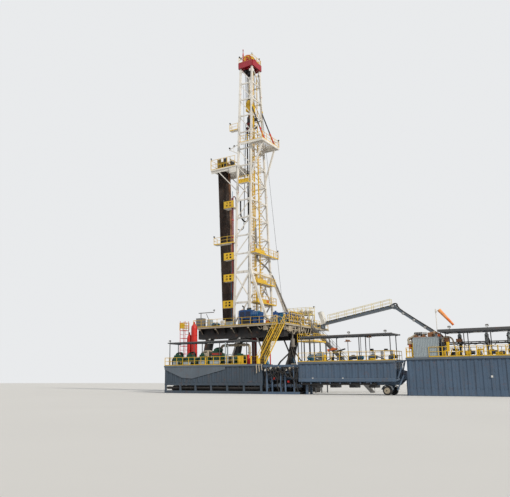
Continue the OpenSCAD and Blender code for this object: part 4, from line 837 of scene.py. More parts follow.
class RIG_OT_mast_fittings(bpy.types.Operator):
    """Bolts gussets, section collars, cables and the ladder's cage to the mast"""

    bl_idname = "rig.mast_fittings"
    bl_label = "Mast fittings"

    def execute(self, context):
        gussets, bolts = [], []
        for z in BAYS[1:] + [5.52]:
            for sx in (-1, 1):
                for sy in (-1, 1):
                    c = mast_leg(sx, sy, z)
                    y = c.y + sy * 0.0155
                    gussets.append(plate(c.x + sx * 0.013, c.x - sx * 0.046, y, y + sy * 0.002,
                                         z - 0.022, z + 0.022))
                    for dx in (0.0, 0.032):
                        bolts.append(rod((c.x - sx * dx, y, z),
                                         (c.x - sx * dx, y + sy * 0.005, z), 0.0032, 6))
                    if sx > 0:
                        x = c.x + 0.0155
                        gussets.append(plate(x, x + 0.002, c.y + sy * 0.013, c.y - sy * 0.046,
                                             z - 0.022, z + 0.022))
        joined("mast_gussets", gussets, "cream_paint")
        girts = []
        for i, z in enumerate(BAYS):
            deep = 0.020 if i == 0 else 0.011
            for sy in (-1, 1):
                a, b = mast_leg(-1, sy, z), mast_leg(1, sy, z)
                girts.append(plate(a.x, b.x, a.y - 0.0085, a.y + 0.0085, z - deep, z + deep, 0.001))
            a = mast_leg(1, 1, z)
            girts.append(plate(a.x - 0.008, a.x + 0.008, -a.y, a.y, z - deep, z + deep, 0.001))
        for z0, z1, flip in ((1.06, 1.45, 1), (1.47, 1.88, -1), (1.92, 2.19, 1)):
            for sy in (-1, 1):
                a, b = mast_leg(-flip, sy, z0), mast_leg(flip, sy, z1)
                girts.append(rod(a, b, 0.0125, 8))
        joined("mast_girts", girts, "cream_paint")
        joined("mast_gusset_bolts", bolts, "bare_steel")
        collars, pins = [], []
        for z in (2.36, 3.28, 4.20, 5.10):
            for sx in (-1, 1):
                for sy in (-1, 1):
                    c = mast_leg(sx, sy, z)
                    collars.append(box(c - Vector((0.0185, 0.0185, 0.016)),
                                       c + Vector((0.0185, 0.0185, 0.016)), 0.002))
                    pins.append(rod(c - Vector((0.024, 0, 0)), c + Vector((0.024, 0, 0)), 0.006, 10, 0.001))
        joined("mast_section_collars", collars, "cream_paint")
        joined("mast_section_pins", pins, "red_paint")
        # cable trunk on the inside of the near back leg, cables by the standpipes
        cables = []
        for k, dx in enumerate((-0.024, -0.033, -0.042)):
            offset = Vector((dx, 0.024, 0))
            cables.append(rod(mast_leg(1, -1, 1.06) + offset,
                              mast_leg(1, -1, 5.30 - 0.2 * k) + offset, 0.0045, 6))
        joined("leg_cables", cables, "rubber")
        blue = [rod((-0.214, -0.352, 1.05), (-0.200, -0.300, 3.30), 0.0042, 6),
                rod((-0.110, -0.060, 3.9), (-0.104, -0.050, 5.3), 0.0032, 6)]
        joined("control_cables", blue, "teal_paint")
        top, foot = BRACE_TOP, Vector((0.500, 0.392, 1.06))
        tray = []
        for dx, dy in ((0.018, -0.006), (0.018, 0.004), (0.018, 0.014), (0.026, -0.001), (0.026, 0.009)):
            off = Vector((dx, dy - 0.004, 0))
            tray.append(rod(foot.lerp(top, 0.02) + off, foot.lerp(top, 0.97) + off, 0.0052, 6))
        for k in range(9):
            c = foot.lerp(top, 0.06 + 0.11 * k)
            tray.append(box(c + Vector((0.010, -0.018, -0.005)), c + Vector((0.032, 0.018, 0.003)), 0.001))
        low = top + Vector((0.02, 0, 0))
        tray += [pipe_run([low, (low.x - 0.03, 0.30, low.z + 0.035), (0.166, 0.18, low.z + 0.06),
                           (0.162, 0.05, low.z + 0.10), (0.160, -0.12, low.z + 0.16),
                           (0.158, -0.16, low.z + 0.30), (0.155, -0.17, low.z + 0.70)], 0.0085, 8),
                 pipe_run([low + Vector((0, 0, 0.02)), (low.x - 0.03, 0.30, low.z + 0.055),
                           (0.166, 0.18, low.z + 0.08), (0.162, 0.05, low.z + 0.12),
                           (0.160, -0.10, low.z + 0.18),
                           (0.158, -0.14, low.z + 0.32), (0.155, -0.15, low.z + 0.70)], 0.0085, 8)]
        joined("cable_tray", tray, "grey_lagging")
        clips = []
        for z in (1.3, 1.6, 1.9, 2.2, 2.5, 2.8, 3.05):
            for y in (-0.330, -0.296):
                clips.append(box((-0.206, y - 0.010, z - 0.006), (-0.186, y + 0.010, z + 0.006), 0.001))
            clips.append(box((-0.2, -0.326, z - 0.003), (-0.192, -0.300, z + 0.003)))
        joined("standpipe_clamps", clips, "red_paint")
        # ladder cage
        hoop = ring((0.072, -0.104, 1.25), 0.023, 0.003, "Z", 12, 4)
        repeat(hoop, 80, (0, 0, 0.0512))
        strips = [rod((0.072 + 0.023 * math.cos(a), -0.104 + 0.023 * math.sin(a), 1.25),
                      (0.072 + 0.023 * math.cos(a), -0.104 + 0.023 * math.sin(a), 5.31), 0.003, 4)
                  for a in (math.pi, 2.2, -2.2)]
        joined("ladder_cage", [hoop] + strips, "yellow_paint")
        # second ladder with its cage up the closed face, between the walkways
        rails = []
        for y in (-0.066, -0.038):
            rails.append(rod((0.172, y, 1.03), (0.158, y, 4.13), 0.0042, 6))
        rung = rod((0.171, -0.066, 1.08), (0.171, -0.038, 1.08), 0.0022, 5)
        repeat(rung, 60, (-0.00022, 0, 0.0505))
        hoop = ring((0.193, -0.052, 1.46), 0.026, 0.003, "Z", 12, 4)
        repeat(hoop, 53, (-0.00022, 0, 0.05))
        joined("back_ladder", rails + [rung, hoop], "yellow_paint")
        # guard ties of the upper platform: dark rods with red lower sleeves
        dark, red, shoes = [], [], []
        for sy in (-1, 1):
            top = mast_leg(1, sy, 4.82)
            foot = Vector((0.366, top.y, 4.14))
            knee = top.lerp(foot, 0.64)
            dark.append(rod(top.lerp(foot, 0.02), knee, 0.0110, 10))
            red.append(rod(knee, top.lerp(foot, 0.985), 0.0140, 12))
            shoes.append(box(foot - Vector((0.020, 0.014, 0.0)),
                             foot + Vector((0.016, 0.014, 0.028)), 0.003))
            shoes.append(box(top + Vector((0.010, -0.013, -0.018)),
                             top + Vector((0.026, 0.013, 0.018)), 0.003))
        joined("platform_tie_rods", dark, "machine_black")
        joined("platform_tie_sleeves", red, "red_paint")
        joined("platform_tie_shoes", shoes, "yellow_paint")
        return {"FINISHED"}


class RIG_OT_crown_fittings(bpy.types.Operator):
    """Adds the crown's beam flanges, sheave guards, covers, service sheaves, pole and beacon"""

    bl_idname = "rig.crown_fittings"
    bl_label = "Crown fittings"

    def execute(self, context):
        red = []
        for sy in (-1, 1):
            y = sy * 0.152
            red += [plate(-0.143, 0.143, y, y + sy * 0.007, z, z + 0.008) for z in (5.59, 5.692)]
            red += [plate(x - 0.002, x + 0.002, y, y + sy * 0.006, 5.598, 5.692) for x in
                    [-0.12 + 0.04 * i for i in range(7)]]
        for sx in (-1, 1):
            x = sx * 0.137
            red += [plate(x, x + sx * 0.007, -0.158, 0.158, z, z + 0.008) for z in (5.59, 5.692)]
            red += [plate(x, x + sx * 0.006, y - 0.002, y + 0.002, 5.598, 5.692) for y in
                    [-0.12 + 0.04 * i for i in range(7)]]
        joined("crown_beam_flanges", red, "crown_paint")
        guards = [rod((0.0, sy * 0.0995, 5.765), (0.0, sy * 0.1045, 5.765), 0.084, 36, 0.002)
                  for sy in (-1, 1)]
        guards += [plate(0.052, 0.060, -0.10, 0.10, 5.70, 5.79, 0.002),
                   plate(0.086, 0.092, -0.06, 0.10, 5.70, 5.765)]
        joined("sheave_guards", guards, "red_paint")
        covers = [plate(-0.060, 0.050, -0.099, 0.099, 5.835, 5.843, 0.002),
                  plate(-0.078, -0.070, -0.099, 0.099, 5.72, 5.80, 0.002),
                  plate(0.095, 0.128, -0.13, -0.075, 5.70, 5.775, 0.004),
                  plate(0.10, 0.125, 0.05, 0.12, 5.70, 5.755, 0.004)]
        covers += [ring((0.0, sy * 0.106, 5.765), 0.050, 0.008, "Y", 24, 6) for sy in (-1, 1)]
        joined("crown_covers", covers, "yellow_paint")
        # service lines and the small sheaves below the crown
        dark = [rod((-0.05, y, 5.555), (-0.05, y + 0.014, 5.555), 0.030, 20, 0.002) for y in (-0.09, 0.06)]
        dark += [rod((0.05, y, 5.545), (0.05, y + 0.014, 5.545), 0.028, 20, 0.002) for y in (-0.07, 0.04)]
        dark += [plate(-0.08, 0.08, -0.052, -0.040, 5.50, 5.59, 0.002),
                 plate(-0.08, 0.08, 0.040, 0.052, 5.50, 5.59, 0.002)]
        joined("service_sheaves", dark, "machine_black")
        pole = []
        for k in range(3):
            a = 2 * math.pi * k / 3
            pole.append(rod((-0.137 + 0.020 * math.cos(a), 0.020 * math.sin(a), 5.70),
                            (-0.137 + 0.012 * math.cos(a), 0.012 * math.sin(a), 5.93), 0.0034, 5))
        pole += [ring((-0.137, 0, z), r, 0.0030, "Z", 10, 4)
                 for z, r in ((5.74, 0.0185), (5.78, 0.0172), (5.82, 0.0158), (5.86, 0.0144),
                              (5.90, 0.013))]
        pole += [rod((-0.137, 0, 5.93), (-0.137, 0, 5.965), 0.011, 14, 0.002)]
        joined("pole_lattice", pole, "red_paint")
        joined("beacon_cap", [rod((-0.137, 0, 6.005), (-0.137, 0, 6.04), 0.008, 12, 0.002)], "brown_paint")
        return {"FINISHED"}


class RIG_OT_block_fittings(bpy.types.Operator):
    """Adds the block's sheaves and hook and the top drive's motors, links and elevator"""

    bl_idname = "rig.block_fittings"
    bl_label = "Block and top drive fittings"

    def execute(self, context):
        black = [rod((0, (i - 2) * 0.024 - 0.007, 4.985), (0, (i - 2) * 0.024 + 0.007, 4.985), 0.046, 24,
                     0.002) for i in range(5)]
        black += [rod((sx * 0.022, sy * 0.030, 4.60), (sx * 0.022, sy * 0.030, 4.70), 0.018, 16, 0.002)
                  for sx in (-1, 1) for sy in (-1, 1)]
        black += [plate(-0.052, -0.045, -0.05, 0.05, 4.36 + 0.045 * i, 4.375 + 0.045 * i) for i in range(6)]
        joined("block_sheaves", black, "machine_black", body=BLOCK)
        yellow = [rod((0, sy * 0.076, 4.93), (0, sy * 0.082, 4.93), 0.034, 24, 0.002) for sy in (-1, 1)]
        yellow += [plate(sx * 0.056, sx * 0.060, -0.055, 0.055, 4.80, 4.97, 0.002) for sx in (-1, 1)]
        yellow += [plate(0.046, 0.052, -0.045, 0.045, 4.34, 4.72, 0.002),
                   plate(-0.02, 0.02, -0.062, 0.062, 4.42, 4.45, 0.003)]
        joined("block_side_plates", yellow, "yellow_paint", body=BLOCK)
        hook = [rod((0, 0, 4.745), (0, 0, 4.795), 0.030, 20, 0.004)]
        hook += [rod((0, sy * 0.022, 4.775), (0, sy * 0.046, 4.70), 0.008, 10, 0.001) for sy in (-1, 1)]
        hook += [rod((0, sy * 0.046, 4.71), (0, sy * 0.046, 4.655), 0.010, 10, 0.001) for sy in (-1, 1)]
        joined("hook_and_bails", hook, "brown_paint", body=BLOCK)
        red = [plate(-0.050, 0.050, -0.052, 0.052, 4.545, 4.585, 0.004),
               rod((0, 0, 4.27), (0, 0, 4.325), 0.030, 20, 0.003)]
        red += [rod((-0.03, sy * 0.050, 4.40), (-0.03, sy * 0.050, 4.54), 0.008, 10) for sy in (-1, 1)]
        red += [plate(-0.026, 0.026, -0.030, 0.030, 4.075, 4.105, 0.006)]
        joined("top_drive_housings", red, "dark_red_paint", body=BLOCK)
        steel = [rod((0, sy * 0.030, 4.30), (0, sy * 0.036, 4.09), 0.0058, 10) for sy in (-1, 1)]
        steel += [rod((0, 0, 4.19), (0, 0, 4.28), 0.010, 14, 0.001),
                  rod((-0.035, 0.0, 4.33), (-0.02, 0.03, 4.18), 0.005, 8)]
        steel += [rod((0.03, sy * 0.02, 4.34), (0.02, sy * 0.032, 4.20), 0.005, 8) for sy in (-1, 1)]
        joined("elevator_links", steel, "bare_steel", body=BLOCK)
        return {"FINISHED"}


def deck_grating(x0, x1, y0, y1, z):
    """Bearing bars and cross bars laid on a deck."""
    pitch = sizes().grating_pitch
    bars = plate(x0, x1, y0, y0 + 0.0018, z, z + 0.002)
    repeat(bars, max(2, int((y1 - y0) / pitch)), (0, pitch, 0))
    cross = plate(x0, x0 + 0.0018, y0, y1, z, z + 0.0018)
    repeat(cross, max(2, int((x1 - x0) / (3 * pitch))), (3 * pitch, 0, 0))
    return [bars, cross]


class RIG_OT_platform_fittings(bpy.types.Operator):
    """Lays gratings on the mast's platforms and fixes the panels of their guard boxes"""

    bl_idname = "rig.platform_fittings"
    bl_label = "Platform gratings and panels"

    def execute(self, context):
        bars = deck_grating(-0.676, -0.47, -0.246, 0.246, 3.7805) + deck_grating(0.15, 0.386, -0.296,
            0.296, 4.1405)
        bars += deck_grating(0.873, 1.147, -0.197, 0.237, 0.7605) + deck_grating(0.363, 0.797, 0.433,
            0.617, 1.2355)
        joined("platform_gratings", bars, "bare_steel", smooth=False)
        # solid kick panels of the landings' guard boxes
        panels = []
        for level, reach, width in ((1.33, 0.20, 0.08), (1.765, 0.20, 0.08), (2.125, 0.20, 0.08),
                                    (3.01, 0.20, 0.07)):
            leg = mast_leg(-1, -1, level)
            x1 = leg.x - 0.016
            y = min(leg.y - 0.015, -0.355)
            for a, b in ((0.004, 0.042), (0.078, 0.112), (0.150, 0.196)):
                panels.append(plate(x1 - reach + a, x1 - reach + b, y + 0.0005, y + 0.0018, level,
                                    level + 0.112))
            for h in (0.004, 0.052, 0.096):
                panels.append(plate(x1 - reach + 0.004, x1 - 0.004, y + 0.0003, y + 0.0020, level + h,
                                    level + h + 0.016))
                panels.append(plate(x1 - reach + 0.0003, x1 - reach + 0.0020, y + 0.004,
                                    leg.y + width - 0.017, level + h, level + h + 0.016))
            panels.append(plate(x1 - reach + 0.0005, x1 - reach + 0.0018, y + 0.004, y + 0.040, level,
                                level + 0.112))
        panels.append(plate(-0.056, 0.126, -0.3345, -0.3332, 3.41, 3.475))
        for z, y0 in ((2.2075, -0.34), (1.72, -0.30), (1.40, -0.32)):
            x = mast_leg(1, 1, z).x + 0.0155 + 0.10
            panels.append(plate(x - 0.0022, x - 0.0008, y0 + 0.004, y0 + 0.30, z, z + 0.055))
        joined("guard_box_panels", panels, "yellow_paint", smooth=False)
        # lockers and machines on the closed face's walkways
        gear = [plate(0.165, 0.215, -0.24, -0.16, 2.21, 2.27, 0.004),
                plate(0.17, 0.22, -0.10, -0.04, 1.725, 1.79, 0.004),
                plate(0.17, 0.21, 0.06, 0.16, 1.405, 1.47, 0.004),
                rod((0.20, -0.20, 1.44), (0.20, -0.10, 1.44), 0.024, 18, 0.002)]
        joined("walkway_gear", gear, "orange_paint")
        # the derrickman's cage of panels round the heads of the stands, with the finger board's combs
        cage = []
        for y in (-0.128, 0.122):
            cage.append(plate(-0.62, -0.36, y, y + 0.006, 3.90, 3.910))
            for x in (-0.62, -0.548, -0.495, -0.423, -0.36):
                cage.append(plate(x, x + 0.008, y, y + 0.006, 3.785, 4.005))
        for x in (-0.62, -0.36):
            cage += [plate(x, x + 0.008, -0.128, 0.128, z, z + 0.012) for z in (3.90, 3.955)]
        joined("derrickman_cage", cage, "yellow_paint", smooth=False)
        walls = [plate(-0.612, -0.546, -0.1265, -0.1225, 3.80, 4.000),
                 plate(-0.487, -0.421, -0.1265, -0.1225, 3.80, 4.000),
                 plate(-0.352, -0.350, -0.12, 0.02, 3.80, 3.94)]
        joined("derrickman_windwall", walls, "machine_black", smooth=False)
        fingers = plate(-0.61, -0.37, -0.12, -0.116, 3.784, 3.796)
        repeat(fingers, 11, (0, 0.0235, 0))
        joined("finger_board", [fingers], "yellow_paint", smooth=False)
        # folding braces and a plate under the board, and the stabbing arm above it
        frames = [rod((-0.145, sy * 0.20, 3.62), (-0.34, sy * 0.20, 3.755), 0.0075, 8) for sy in (-1, 1)]
        frames += [plate(-0.30, -0.16, -0.245, -0.239, 3.66, 3.76, 0.002),
                   rod((-0.125, -0.235, 3.98), (-0.30, -0.235, 4.08), 0.006, 8),
                   rod((-0.125, -0.235, 4.14), (-0.30, -0.235, 4.08), 0.006, 8),
                   rod((-0.21, -0.235, 4.03), (-0.21, -0.235, 4.11), 0.004, 6)]
        joined("board_braces", frames, "cream_paint")
        return {"FINISHED"}


# Ends, near and far edge and top of each canopy
CANOPIES = ((-0.640, 0.735, -1.450, -1.160, 0.725), (1.530, 2.740, -1.488, -1.180, 0.727),
            (3.278, 4.070, -1.488, -1.140, 0.737))
CANOPY_LOW = 0.715

# Place, heading in degrees and tilt of each floodlight
FLOODLIGHTS = (
    (-0.132, -0.147, 5.822, 200, -25), (-0.132, -0.095, 5.822, 200, -25), (0.132, -0.147, 5.822, -40, 20),
    (0.132, 0.120, 5.822, 20, 20), (-0.298, -0.235, 4.108, 190, 15), (-0.210, -0.235, 4.134, 240, 15),
    (-0.676, -0.247, 3.982, 210, 30), (0.387, -0.297, 4.272, -40, 30), (0.387, 0.297, 4.272, 30, 30),
    (-0.303, -0.207, 4.572, 200, 25), (-0.547, -0.352, 2.542, 200, 25), (-0.342, -0.352, 3.142, 200, 25),
    (0.2475, -0.337, 2.340, -30, 30), (0.2475, 0.437, 2.340, 10, 30), (-0.620, -1.440, 0.749, 250, 35),
    (0.100, -1.440, 0.749, 270, 35), (0.600, -1.440, 0.749, 270, 35), (1.700, -1.480, 0.751, 270, 35),
    (2.200, -1.480, 0.751, 270, 35), (2.660, -1.480, 0.751, 270, 35), (3.400, -1.480, 0.761, 270, 35),
    (3.800, -1.480, 0.761, 270, 35), (0.866, -0.596, 1.152, -60, 30), (0.797, 0.617, 1.367, -20, 30),
    (-0.445, -0.515, 1.286, 230, 30))


class RIG_OT_floodlights(bpy.types.Operator):
    """Sets the floodlights, each a finned housing with a lens on a stirrup"""

    bl_idname = "rig.floodlights"
    bl_label = "Floodlights"

    def execute(self, context):
        housings, lenses = [], []
        for x, y, z, heading, tilt in FLOODLIGHTS:
            body = [box((-0.012, -0.016, -0.011), (0.004, 0.016, 0.011), 0.002),
                    box((-0.018, -0.012, -0.008), (-0.012, 0.012, 0.008)),
                    rod((-0.003, -0.019, 0.0), (-0.003, 0.019, 0.0), 0.002, 6),
                    rod((-0.003, 0.0, -0.024), (-0.003, 0.0, -0.010), 0.0026, 6)]
            glass = [box((0.004, -0.0135, -0.0085), (0.0065, 0.0135, 0.0085), 0.001)]
            yaw, pitch = math.radians(heading), math.radians(tilt)
            housings += placed(body, (x, y, z), yaw, pitch)
            lenses += placed(glass, (x, y, z), yaw, pitch)
        joined("floodlight_housings", housings, "machine_black")
        joined("floodlight_lenses", lenses, "lamp_lens")
        return {"FINISHED"}


class RIG_OT_floor_machines(bpy.types.Operator):
    """Sets out the drill floor's machines, hand winches, lockers and hoses"""

    bl_idname = "rig.floor_machines"
    bl_label = "Drill floor machines"

    def execute(self, context):
        z = FLOOR
        orange = [plate(-0.175, -0.095, -0.045, 0.045, z, z + 0.030, 0.003),
                  rod((-0.135, 0, z + 0.03), (-0.135, 0, z + 0.10), 0.018, 16, 0.002),
                  plate(-0.165, -0.070, -0.042, 0.042, z + 0.085, z + 0.175, 0.006),
                  rod((-0.115, -0.05, z + 0.13), (-0.115, 0.05, z + 0.13), 0.026, 20, 0.002)]
        orange += [ring((0.035, -0.425, 1.245), 0.024, 0.008, "Y", 20, 8),
                   plate(0.50, 0.56, -0.52, -0.47, z, z + 0.05, 0.006)]
        joined("iron_roughneck", orange, "orange_paint")
        white = [plate(-0.060, 0.045, -0.405, -0.397, z + 0.01, 1.26, 0.002),
                 plate(-0.30, -0.23, -0.545, -0.495, z, z + 0.095, 0.004),
                 plate(0.60, 0.655, -0.545, -0.50, z, z + 0.10, 0.004),
                 plate(0.66, 0.73, 0.88, 0.95, z, z + 0.12, 0.004)]
        white += placed([box((-0.0015, -0.0015, 0.0), (0.0635, 0.1015, 0.2165), 0.004)],
                        (0.89, 0.69, 1.076), 0, math.radians(-18))
        joined("white_lockers", white, "white_paint")
        # hand winches: drum between cheeks on a foot
        blue, rope = [], []
        for x, y in ((-0.42, -0.50), (0.72, -0.42), (-0.30, 0.60), (0.30, 0.72)):
            blue += [plate(x - 0.034, x - 0.028, y - 0.03, y + 0.03, z, z + 0.066, 0.002),
                     plate(x + 0.028, x + 0.034, y - 0.03, y + 0.03, z, z + 0.066, 0.002),
                     plate(x - 0.04, x + 0.07, y - 0.034, y + 0.034, z, z + 0.008),
                     rod((x + 0.034, y, z + 0.036), (x + 0.072, y, z + 0.036), 0.020, 16, 0.002)]
            rope += [rod((x - 0.028, y, z + 0.036), (x + 0.028, y, z + 0.036), 0.021, 18)]
            rope += [ring((x - 0.024 + 0.006 * k, y, z + 0.036), 0.0215, 0.003, "X", 18, 5)
                     for k in range(9)]
        joined("hand_winches", blue, "teal_paint")
        joined("hand_winch_rope", rope, "rope_steel")
        grey = [plate(-0.20, -0.09, -0.55, -0.49, z, z + 0.07, 0.004),
                plate(-0.56, -0.48, -0.54, -0.48, z, z + 0.12, 0.004),
                plate(0.50, 0.60, 0.86, 0.94, z, z + 0.085, 0.004),
                plate(-0.60, -0.45, 0.80, 0.92, z, z + 0.16, 0.004),
                plate(-0.10, 0.10, 0.86, 0.95, z, z + 0.07, 0.004)]
        grey += [rod((0.30 + 0.05 * k, 0.90, z), (0.30 + 0.05 * k, 0.90, z + 0.17), 0.018, 16, 0.003)
                 for k in range(3)]
        joined("floor_lockers", grey, "cabin_paint")
        blocks = []
        for x, y in ((0.615, -0.40), (0.775, -0.20)):
            blocks += [plate(x - 0.030, x + 0.030, y - 0.035, y + 0.035, z, z + 0.185, 0.004),
                       plate(x - 0.024, x + 0.024, y - 0.0375, y - 0.035, z + 0.10, z + 0.17, 0.001),
                       plate(x - 0.024, x + 0.024, y - 0.0375, y - 0.035, z + 0.015, z + 0.085, 0.001),
                       rod((x, y, z + 0.185), (x, y, z + 0.205), 0.016, 14, 0.003)]
        joined("winch_cabinets", blocks, "blue_paint")
        # pipework and frames at the winch end of the floor
        yellow = []
        for x in (0.80, 0.835):
            yellow += [rod((x, y, z), (x, y, z + 0.19), 0.005, 6) for y in (-0.30, -0.10, 0.10)]
            yellow += [rod((x, -0.30, z + h), (x, 0.10, z + h), 0.005, 6) for h in (0.10, 0.19)]
        yellow += [rod((0.77, y, z), (0.77, y + 0.12, z + 0.16), 0.006, 6) for y in (-0.52, -0.40)]
        yellow += [plate(0.40, 0.46, 0.47, 0.56, 1.236, 1.29, 0.004),
                   plate(0.60, 0.64, 0.46, 0.50, 1.236, 1.31, 0.003)]
        yellow += [rod((0.005, -0.20, z), (0.005, -0.20, z + 0.24), 0.010, 12),
                   rod((-0.02, 0.16, z), (-0.02, 0.16, z + 0.13), 0.012, 12)]
        joined("pipe_frames", yellow, "yellow_paint")
        cream = [pipe_run([(0.60 + 0.05 * k, -0.545, z - 0.02), (0.61 + 0.05 * k, -0.56, z + 0.05),
                           (0.64 + 0.05 * k, -0.555, z + 0.10 + 0.02 * (k % 2)),
                           (0.70 + 0.05 * k, -0.53, z + 0.07), (0.71 + 0.05 * k, -0.50, z)], 0.007, 8)
                           for k in range(3)]
        cream += [rod((0.50, 0.50, 1.27), (0.74, 0.50, 1.27), 0.022, 18, 0.004),
                  plate(0.68, 0.78, 0.54, 0.60, 1.236, 1.30, 0.004)]
        cream += [rod((0.848, y0, z + h), (0.848, y1, z + h), r, 10, 0.001) for y0, y1, h, r in
                  ((-0.42, -0.12, 0.045, 0.012), (-0.05, 0.30, 0.10, 0.010), (-0.36, 0.10, 0.155, 0.007),
                   (0.15, 0.55, 0.05, 0.013))]
        cream += [flange((0.848, y, z + h), "Y", r)
                  for y, h, r in ((-0.36, 0.045, 0.018), (-0.22, 0.045, 0.018), (0.02, 0.10, 0.016),
                                  (0.20, 0.10, 0.016), (0.30, 0.05, 0.019), (0.46, 0.05, 0.019))]
        cream += [pipe_run([(0.848, -0.12, z + 0.045), (0.86, -0.09, z + 0.045), (0.885, -0.08, z + 0.01),
                            (0.885, -0.08, z - 0.10)], 0.009, 8),
                  pipe_run([(0.848, 0.30, z + 0.10), (0.865, 0.33, z + 0.09), (0.885, 0.34, z + 0.0),
                            (0.885, 0.34, z - 0.14)], 0.008, 8)]
        for k in range(9):
            x, y = 0.40 + 0.055 * k, 0.18 + 0.05 * (k % 3)
            cream.append(pipe_run([(x, y, z + 0.01), (x + 0.005, y, z + 0.17 + 0.015 * (k % 3)),
                                   (x + 0.03, y + 0.01, z + 0.235 + 0.02 * (k % 2)),
                                   (x + 0.06, y + 0.03, z + 0.19),
                                   (x + 0.065, y + 0.04, z + 0.10)], 0.0075, 8))
        for k in range(7):
            y = -0.46 + 0.13 * k
            cream.append(hanging((0.80, y, z + 0.15), (0.83, y + 0.11, z + 0.14 + 0.03 * (k % 2)), 0.07,
                                 0.0065, 6, 8))
        joined("floor_manifold_pipes", cream, "beige_paint")
        steel = [rod((0, 0, 0.98), (0, 0, 1.14), 0.0066, 12),
                 ring((0, 0, z + 0.032), 0.030, 0.006, "Z", 24, 8),
                 rod((-0.06, 0.14, z), (-0.06, 0.14, z + 0.09), 0.009, 12)]
        steel += [plate(-0.075 + 0.05 * k, -0.045 + 0.05 * k, -0.10, -0.094, z, z + 0.03) for k in range(3)]
        joined("drill_pipe_and_slips", steel, "bare_steel")
        brown = [rod((-0.095, -0.24, z), (-0.095, -0.24, z + 0.26), 0.014, 14, 0.002),
                 rod((-0.115, -0.24, z + 0.2), (-0.05, -0.24, z + 0.26), 0.010, 10),
                 plate(0.02, 0.075, -0.33, -0.28, 1.15, 1.24, 0.004)]
        joined("tong_posts", brown, "brown_paint")
        hoses = [hanging((-0.60, -0.50, 1.24), (-0.44, -0.50, 1.09), 0.05, 0.004),
                 hanging((0.45, -0.50, 1.14), (0.60, -0.52, 1.10), 0.05, 0.004),
                 hanging((0.16, -0.45, 1.10), (0.02, -0.42, 1.16), 0.05, 0.004),
                 hanging((0.80, -0.20, 1.15), (0.80, 0.30, 1.12), 0.06, 0.005),
                 hanging((0.40, -0.50, 1.20), (0.56, -0.30, 1.14), 0.06, 0.004)]
        joined("floor_machine_hoses", hoses, "rubber")
        return {"FINISHED"}


class RIG_OT_winch_fittings(bpy.types.Operator):
    """Adds the winch's drum rope, motors and guards, and the power unit's cooler, louvres and stack"""

    bl_idname = "rig.winch_fittings"
    bl_label = "Winch and power unit fittings"

    def execute(self, context):
        low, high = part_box("drawworks")
        x = (low[0] + high[0]) / 2
        row = ring((x, -0.085, FLOOR + 0.10), 0.0635, 0.0026, "Y", 28, 6)
        repeat(row, 50, (0, 0.0054, 0))
        joined("drum_rope", [row], "rope_steel")
        teal = [rod((x, low[1] + 0.008, FLOOR + 0.115), (x, low[1] - 0.004, FLOOR + 0.115),
                    0.070, 28, 0.003),
                rod((x, low[1] - 0.004, FLOOR + 0.115), (x, low[1] - 0.014, FLOOR + 0.115),
                    0.030, 20, 0.002)]
        teal += [rod((x - 0.085, low[1] - 0.10, FLOOR + 0.05), (x - 0.085, low[1] + 0.01, FLOOR + 0.05),
                     0.034, 20, 0.003),
                 rod((x + 0.085, low[1] - 0.10, FLOOR + 0.05), (x + 0.085, low[1] + 0.01, FLOOR + 0.05),
                     0.034, 20, 0.003)]
        fin = ring((x - 0.085, low[1] - 0.092, FLOOR + 0.05), 0.035, 0.0018, "Y", 20, 4)
        other = copied(fin, (0.17, 0, 0))[0]
        for row in (fin, other):
            repeat(row, 8, (0, 0.011, 0))
        teal += [fin, other, plate(x - 0.125, x - 0.045, low[1] - 0.108, low[1] - 0.09, FLOOR,
                                   FLOOR + 0.02), plate(x + 0.045, x + 0.125, low[1] - 0.108, low[1] - 0.09,
                                                        FLOOR, FLOOR + 0.02)]
        joined("winch_motors", teal, "teal_paint")
        bolts = [rod((x + 0.055 * math.cos(a), low[1] - 0.004, FLOOR + 0.115 + 0.055 * math.sin(a)),
                     (x + 0.055 * math.cos(a), low[1] - 0.008,
                      FLOOR + 0.115 + 0.055 * math.sin(a)), 0.004, 6)
                 for a in [math.pi * k / 5 for k in range(10)]]
        joined("winch_bolts", bolts, "bare_steel")
        caps = [rod((0.278 + 0.036 * k, -0.505, 1.17), (0.284 + 0.036 * k, -0.505, 1.17), 0.0645, 32, 0.001)
                for k in range(4)]
        caps += [plate(0.07, 0.27, -0.564, -0.446, 1.2455, 1.252, 0.003),
                 plate(0.395, 0.438, -0.548, -0.462, 1.201, 1.21, 0.002)]
        joined("cooler_bands", caps, "teal_paint")
        grille = [ring((0.3875, -0.505, 1.17), r, 0.0016, "X", 28, 4) for r in (0.014, 0.028, 0.042, 0.054)]
        louvres = [plate(x0, x1, -0.5675, -0.565, 1.125, 1.130)
                   for x0, x1 in ((0.082, 0.162), (0.180, 0.262))]
        for louvre in louvres:
            repeat(louvre, 11, (0, 0, 0.0095))
        stack = [rod((0.115, -0.50, 1.245), (0.115, -0.50, 1.30), 0.010, 12),
                 rod((0.115, -0.50, 1.30), (0.085, -0.50, 1.325), 0.011, 12, 0.001),
                 rod((0.16, -0.48, 1.275), (0.23, -0.48, 1.275), 0.016, 16, 0.003),
                 plate(0.09, 0.24, -0.555, -0.455, 1.036, 1.105, 0.004)]
        joined("power_unit_grilles", grille + louvres + stack, "machine_black")
        return {"FINISHED"}


